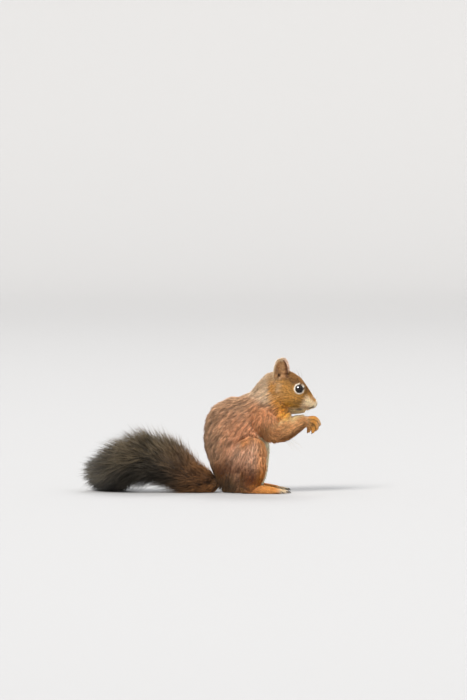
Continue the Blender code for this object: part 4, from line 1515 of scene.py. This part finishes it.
EYE_BLACK, EYE_BROWN = (0.0015, 0.0015, 0.0015, 1), (0.006, 0.0035, 0.0025, 1)
eye_finish = Finish("eye_dark", Roughness=0.05, Specular_IOR_Level=0.25)
eye_finish.set(Base_Color=eye_finish.blend(eye_finish.noise(500.0, 3.0), EYE_BLACK, EYE_BROWN))
eyes = []
for name, side in SIDES:
    centre = from_head(EYE_AT * (1, side, 1))
    eye = add_mesh(f"eyeball_{name}", *ball(centre, EYE_RADIUS))
    eye.data.shade_smooth()
    eye.data.materials.append(eye_finish.material)
    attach(eye, "root")
    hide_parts(f"eye_{name}")
    eyes.append(eye)
    print(eye.name, "at", centre.round(1), "mm, radius", EYE_RADIUS)

# %% [markdown]
# ## Claws
#
# Short, curved, dark and smooth: a tapering tube for each finger and toe, let into its end.
# The same closed tube that made the toes makes them, so that each sits on its toe's own path.

# %% Claws of all four feet
CLAW_DARK, CLAW_PALE = (0.030, 0.020, 0.014, 1), (0.085, 0.058, 0.040, 1)
claw_finish = Finish("claw_horn", Roughness=0.35)
claw_finish.set(Base_Color=claw_finish.blend(claw_finish.noise(1500.0), CLAW_DARK, CLAW_PALE))
for name, side in SIDES:
    nails = [closed_tube(round_rows(mirrored(rows, side)), 10, 0.5) for rows in NAILS]
    toes = [closed_tube(toe_path(i, side)[1], 10, 0.5) for i in range(5)]
    for label, shapes in (("fore", nails), ("hind", toes)):
        claws = add_joined(f"claws_{label}_{name}", shapes)
        claws.data.shade_smooth()
        claws.data.materials.append(claw_finish.material)
        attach(claws, "root")
        print(claws.name + ":", len(shapes), "claws")

# %% [markdown]
# ## Whiskers
#
# Stiff dark bristles stand in rows on the muzzle, some more over the eye and on the cheek, and
# a few long pale ones on the inside of each wrist.  Each is a very thin tapering tube, bent
# backwards by its own spring.  A flat card would be lighter, but it would vanish edge on.

# %% Whiskers of the face and wrists
def bristle(root, heading, length, sag, thick):
    """A tapering tube, its middle at root + heading·length·t + sag·t², t from 0 to 1."""
    root, heading, sag = (np.array(v, dtype=float) for v in (root, heading, sag))
    heading /= np.linalg.norm(heading)
    t = np.linspace(0, 1, 7)[:, None]
    line = root + heading * length * t + sag * t ** 2
    return closed_tube(round_rows(np.column_stack([line, thick * (1 - 0.85 * t[:, 0])])), 6, length / 12)


PAD_ROWS = ((1.6, 4), (-0.4, 5), (-2.4, 4), (-4.0, 3))                 # height, number of whiskers
# forward, out and up; heading; length; sag
BROW_AND_CHEEK = [(19.5, 8.6, 14.6, (-0.3, 0.8, 1.0), 20, (-5, 2, -3)),
                  (17.5, 9.2, 14.6, (-0.5, 0.8, 1.0), 16, (-4, 2, -2)),
                  (18.0, 13.4, -6.0, (-0.2, 1.0, -0.2), 17, (-4, 0, -3)),
                  (19.5, 12.8, -7.5, (-0.1, 1.0, -0.4), 14, (-3, 0, -3))]
WRIST = [(60, 57.5, 24, (0.75, 0.25, -0.65)), (62.5, 59, 20, (0.8, 0.3, -0.55)),
         (57.5, 57, 17, (0.7, 0.3, -0.7))]                             # x, z, length, heading


def face_bristles(side):
    """Rows of the muzzle, then brow and cheek, given in the head's frame: forward, out, up."""
    draw = np.random.default_rng(7)
    shapes = []
    for row, (up, count) in enumerate(PAD_ROWS):
        for k in range(count):
            a = 38.2 - 1.7 * k - 0.5 * row
            out = np.interp(a, [30, 36, 40], [7.6, 6.0, 4.6]) - 0.12 * abs(up) ** 1.5
            heading = (0.25 - 0.22 * k, 1.0, 0.25 + 0.14 * up)
            shapes.append((a, out, up, heading, draw.uniform(20, 31), (-5, -1, -3.5 + 0.6 * up)))
    for a, out, up, heading, length, sag in shapes + BROW_AND_CHEEK:
        flip = np.array([1, side, 1])
        points, faces = bristle(np.array([a, out, up]) * flip, heading * flip, length, sag * flip, 0.11)
        yield from_head(points), faces


def wrist_bristles(side):
    """The long bristles under the wrist."""
    for x, z, length, heading in WRIST:
        yield bristle((x, 17 * side, z), np.array(heading) * (1, side, 1), length, (0, 0, -1.5), 0.12)


for label, tone, roughness, maker in (("face", (0.030, 0.022, 0.016, 1), 0.4, face_bristles),
                                      ("wrist", (0.62, 0.50, 0.34, 1), 0.5, wrist_bristles)):
    whisker_finish = Finish(f"whisker_{label}", Roughness=roughness, Base_Color=tone)
    for name, side in SIDES:
        whiskers = add_joined(f"whiskers_{label}_{name}", maker(side))
        whiskers.data.shade_smooth()
        whiskers.data.materials.append(whisker_finish.material)
        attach(whiskers, "root")
        print(whiskers.name + ":", len(whiskers.data.polygons), "faces")

# %% [markdown]
# ## Stage
#
# A pale floor that curves up into a wall all round gives every view the same plain background.
# The light is a soft sky and three distant, soft lamps; a fourth one shines on the eyes only.

# %% Floor and wall
STAGE_SIDES = 96


def make_stage():
    """A bowl: a flat disc whose rim turns up in a quarter circle into a wall, in metres."""
    bend = np.linspace(0, math.pi / 2, 25)
    reach = np.concatenate([[0.3, 1, 2, 4, 7], 8 + 3 * np.sin(bend), [11]])
    height = np.concatenate([[0, 0, 0, 0, 0], 3 - 3 * np.cos(bend), [6]])
    turn = np.arange(STAGE_SIDES) * (2 * math.pi / STAGE_SIDES)
    ring = np.stack([np.outer(reach, np.cos(turn)), np.outer(reach, np.sin(turn)),
                     np.outer(height, np.ones(STAGE_SIDES))], -1)
    index = np.arange(len(reach) * STAGE_SIDES).reshape(-1, STAGE_SIDES)
    faces = ring_faces(index, flipped=True) + [tuple(index[0])]
    return add_mesh("stage_floor", ring.reshape(-1, 3) / MM - SHIFT, faces)


stage = make_stage()
stage.data.shade_smooth()
stage_finish = Finish("pale_floor", Roughness=0.9, Base_Color=(0.44, 0.435, 0.43, 1))
stage.data.materials.append(stage_finish.material)
print("stage:", len(stage.data.polygons), "faces")


# %% Lights
def add_lamp(name, at, strength, spread, tint=(1, 1, 1)):
    """A distant soft disc of light `spread` degrees wide, shining from `at` to the origin."""
    lamp = bpy.data.lights.new(name, "SUN")
    lamp.energy, lamp.angle, lamp.color = strength, math.radians(spread), tint
    obj = bpy.data.objects.new(name, lamp)
    bpy.context.scene.collection.objects.link(obj)
    obj.location = at
    obj.rotation_euler = obj.location.to_track_quat("Z", "Y").to_euler()
    return obj


KEY_AT = (-0.7, -1.1, 1.3)
add_lamp("lamp_key", KEY_AT, 3.3, 26, (1, 0.97, 0.93))
add_lamp("lamp_fill", (1.5, -1.2, 0.7), 0.9, 50, (0.95, 0.97, 1))
add_lamp("lamp_back", (0.3, 1.5, 1.2), 1.4, 30)
# a wide lamp beside the key that only the eyes see, for the light patch in them
catch = add_lamp("lamp_catch", KEY_AT, 30.0, 36, (0.92, 0.96, 1))
catch.light_linking.receiver_collection = bpy.data.collections.new("eyes")
for eye in eyes:
    catch.light_linking.receiver_collection.objects.link(eye)
world = bpy.data.worlds.new("sky")
world.use_nodes = True
sky = world.node_tree.nodes["Background"]
sky.inputs["Color"].default_value = (0.92, 0.95, 1.0, 1)
sky.inputs["Strength"].default_value = 0.95
bpy.context.scene.world = world
bpy.context.scene.view_settings.view_transform = "Standard"
print("lamps:", len(bpy.data.lights))

# %% [markdown]
# ## Camera
#
# The animal is seen square from its right side, from far away with a long lens and from barely
# above the floor.

# %% Camera
CAMERA_FAR, CAMERA_RISE = 6.0, math.radians(2.0)
FRAME_HEIGHT = 0.735                      # metres seen at the animal's distance
FILM_HEIGHT = 36                          # mm
AIM = np.array([0.0314, SHIFT[1] * MM, 0.1496])
camera = bpy.data.cameras.new("camera")
camera.sensor_fit = "VERTICAL"
camera.sensor_height = FILM_HEIGHT
camera.lens = FILM_HEIGHT * CAMERA_FAR / FRAME_HEIGHT
view = bpy.data.objects.new("camera", camera)
view.location = AIM + CAMERA_FAR * np.array([0, -math.cos(CAMERA_RISE), math.sin(CAMERA_RISE)])
view.rotation_euler = (math.pi / 2 - CAMERA_RISE, 0, 0)
bpy.context.scene.collection.objects.link(view)
bpy.context.scene.camera = view
print("lens, mm:", round(camera.lens, 1))
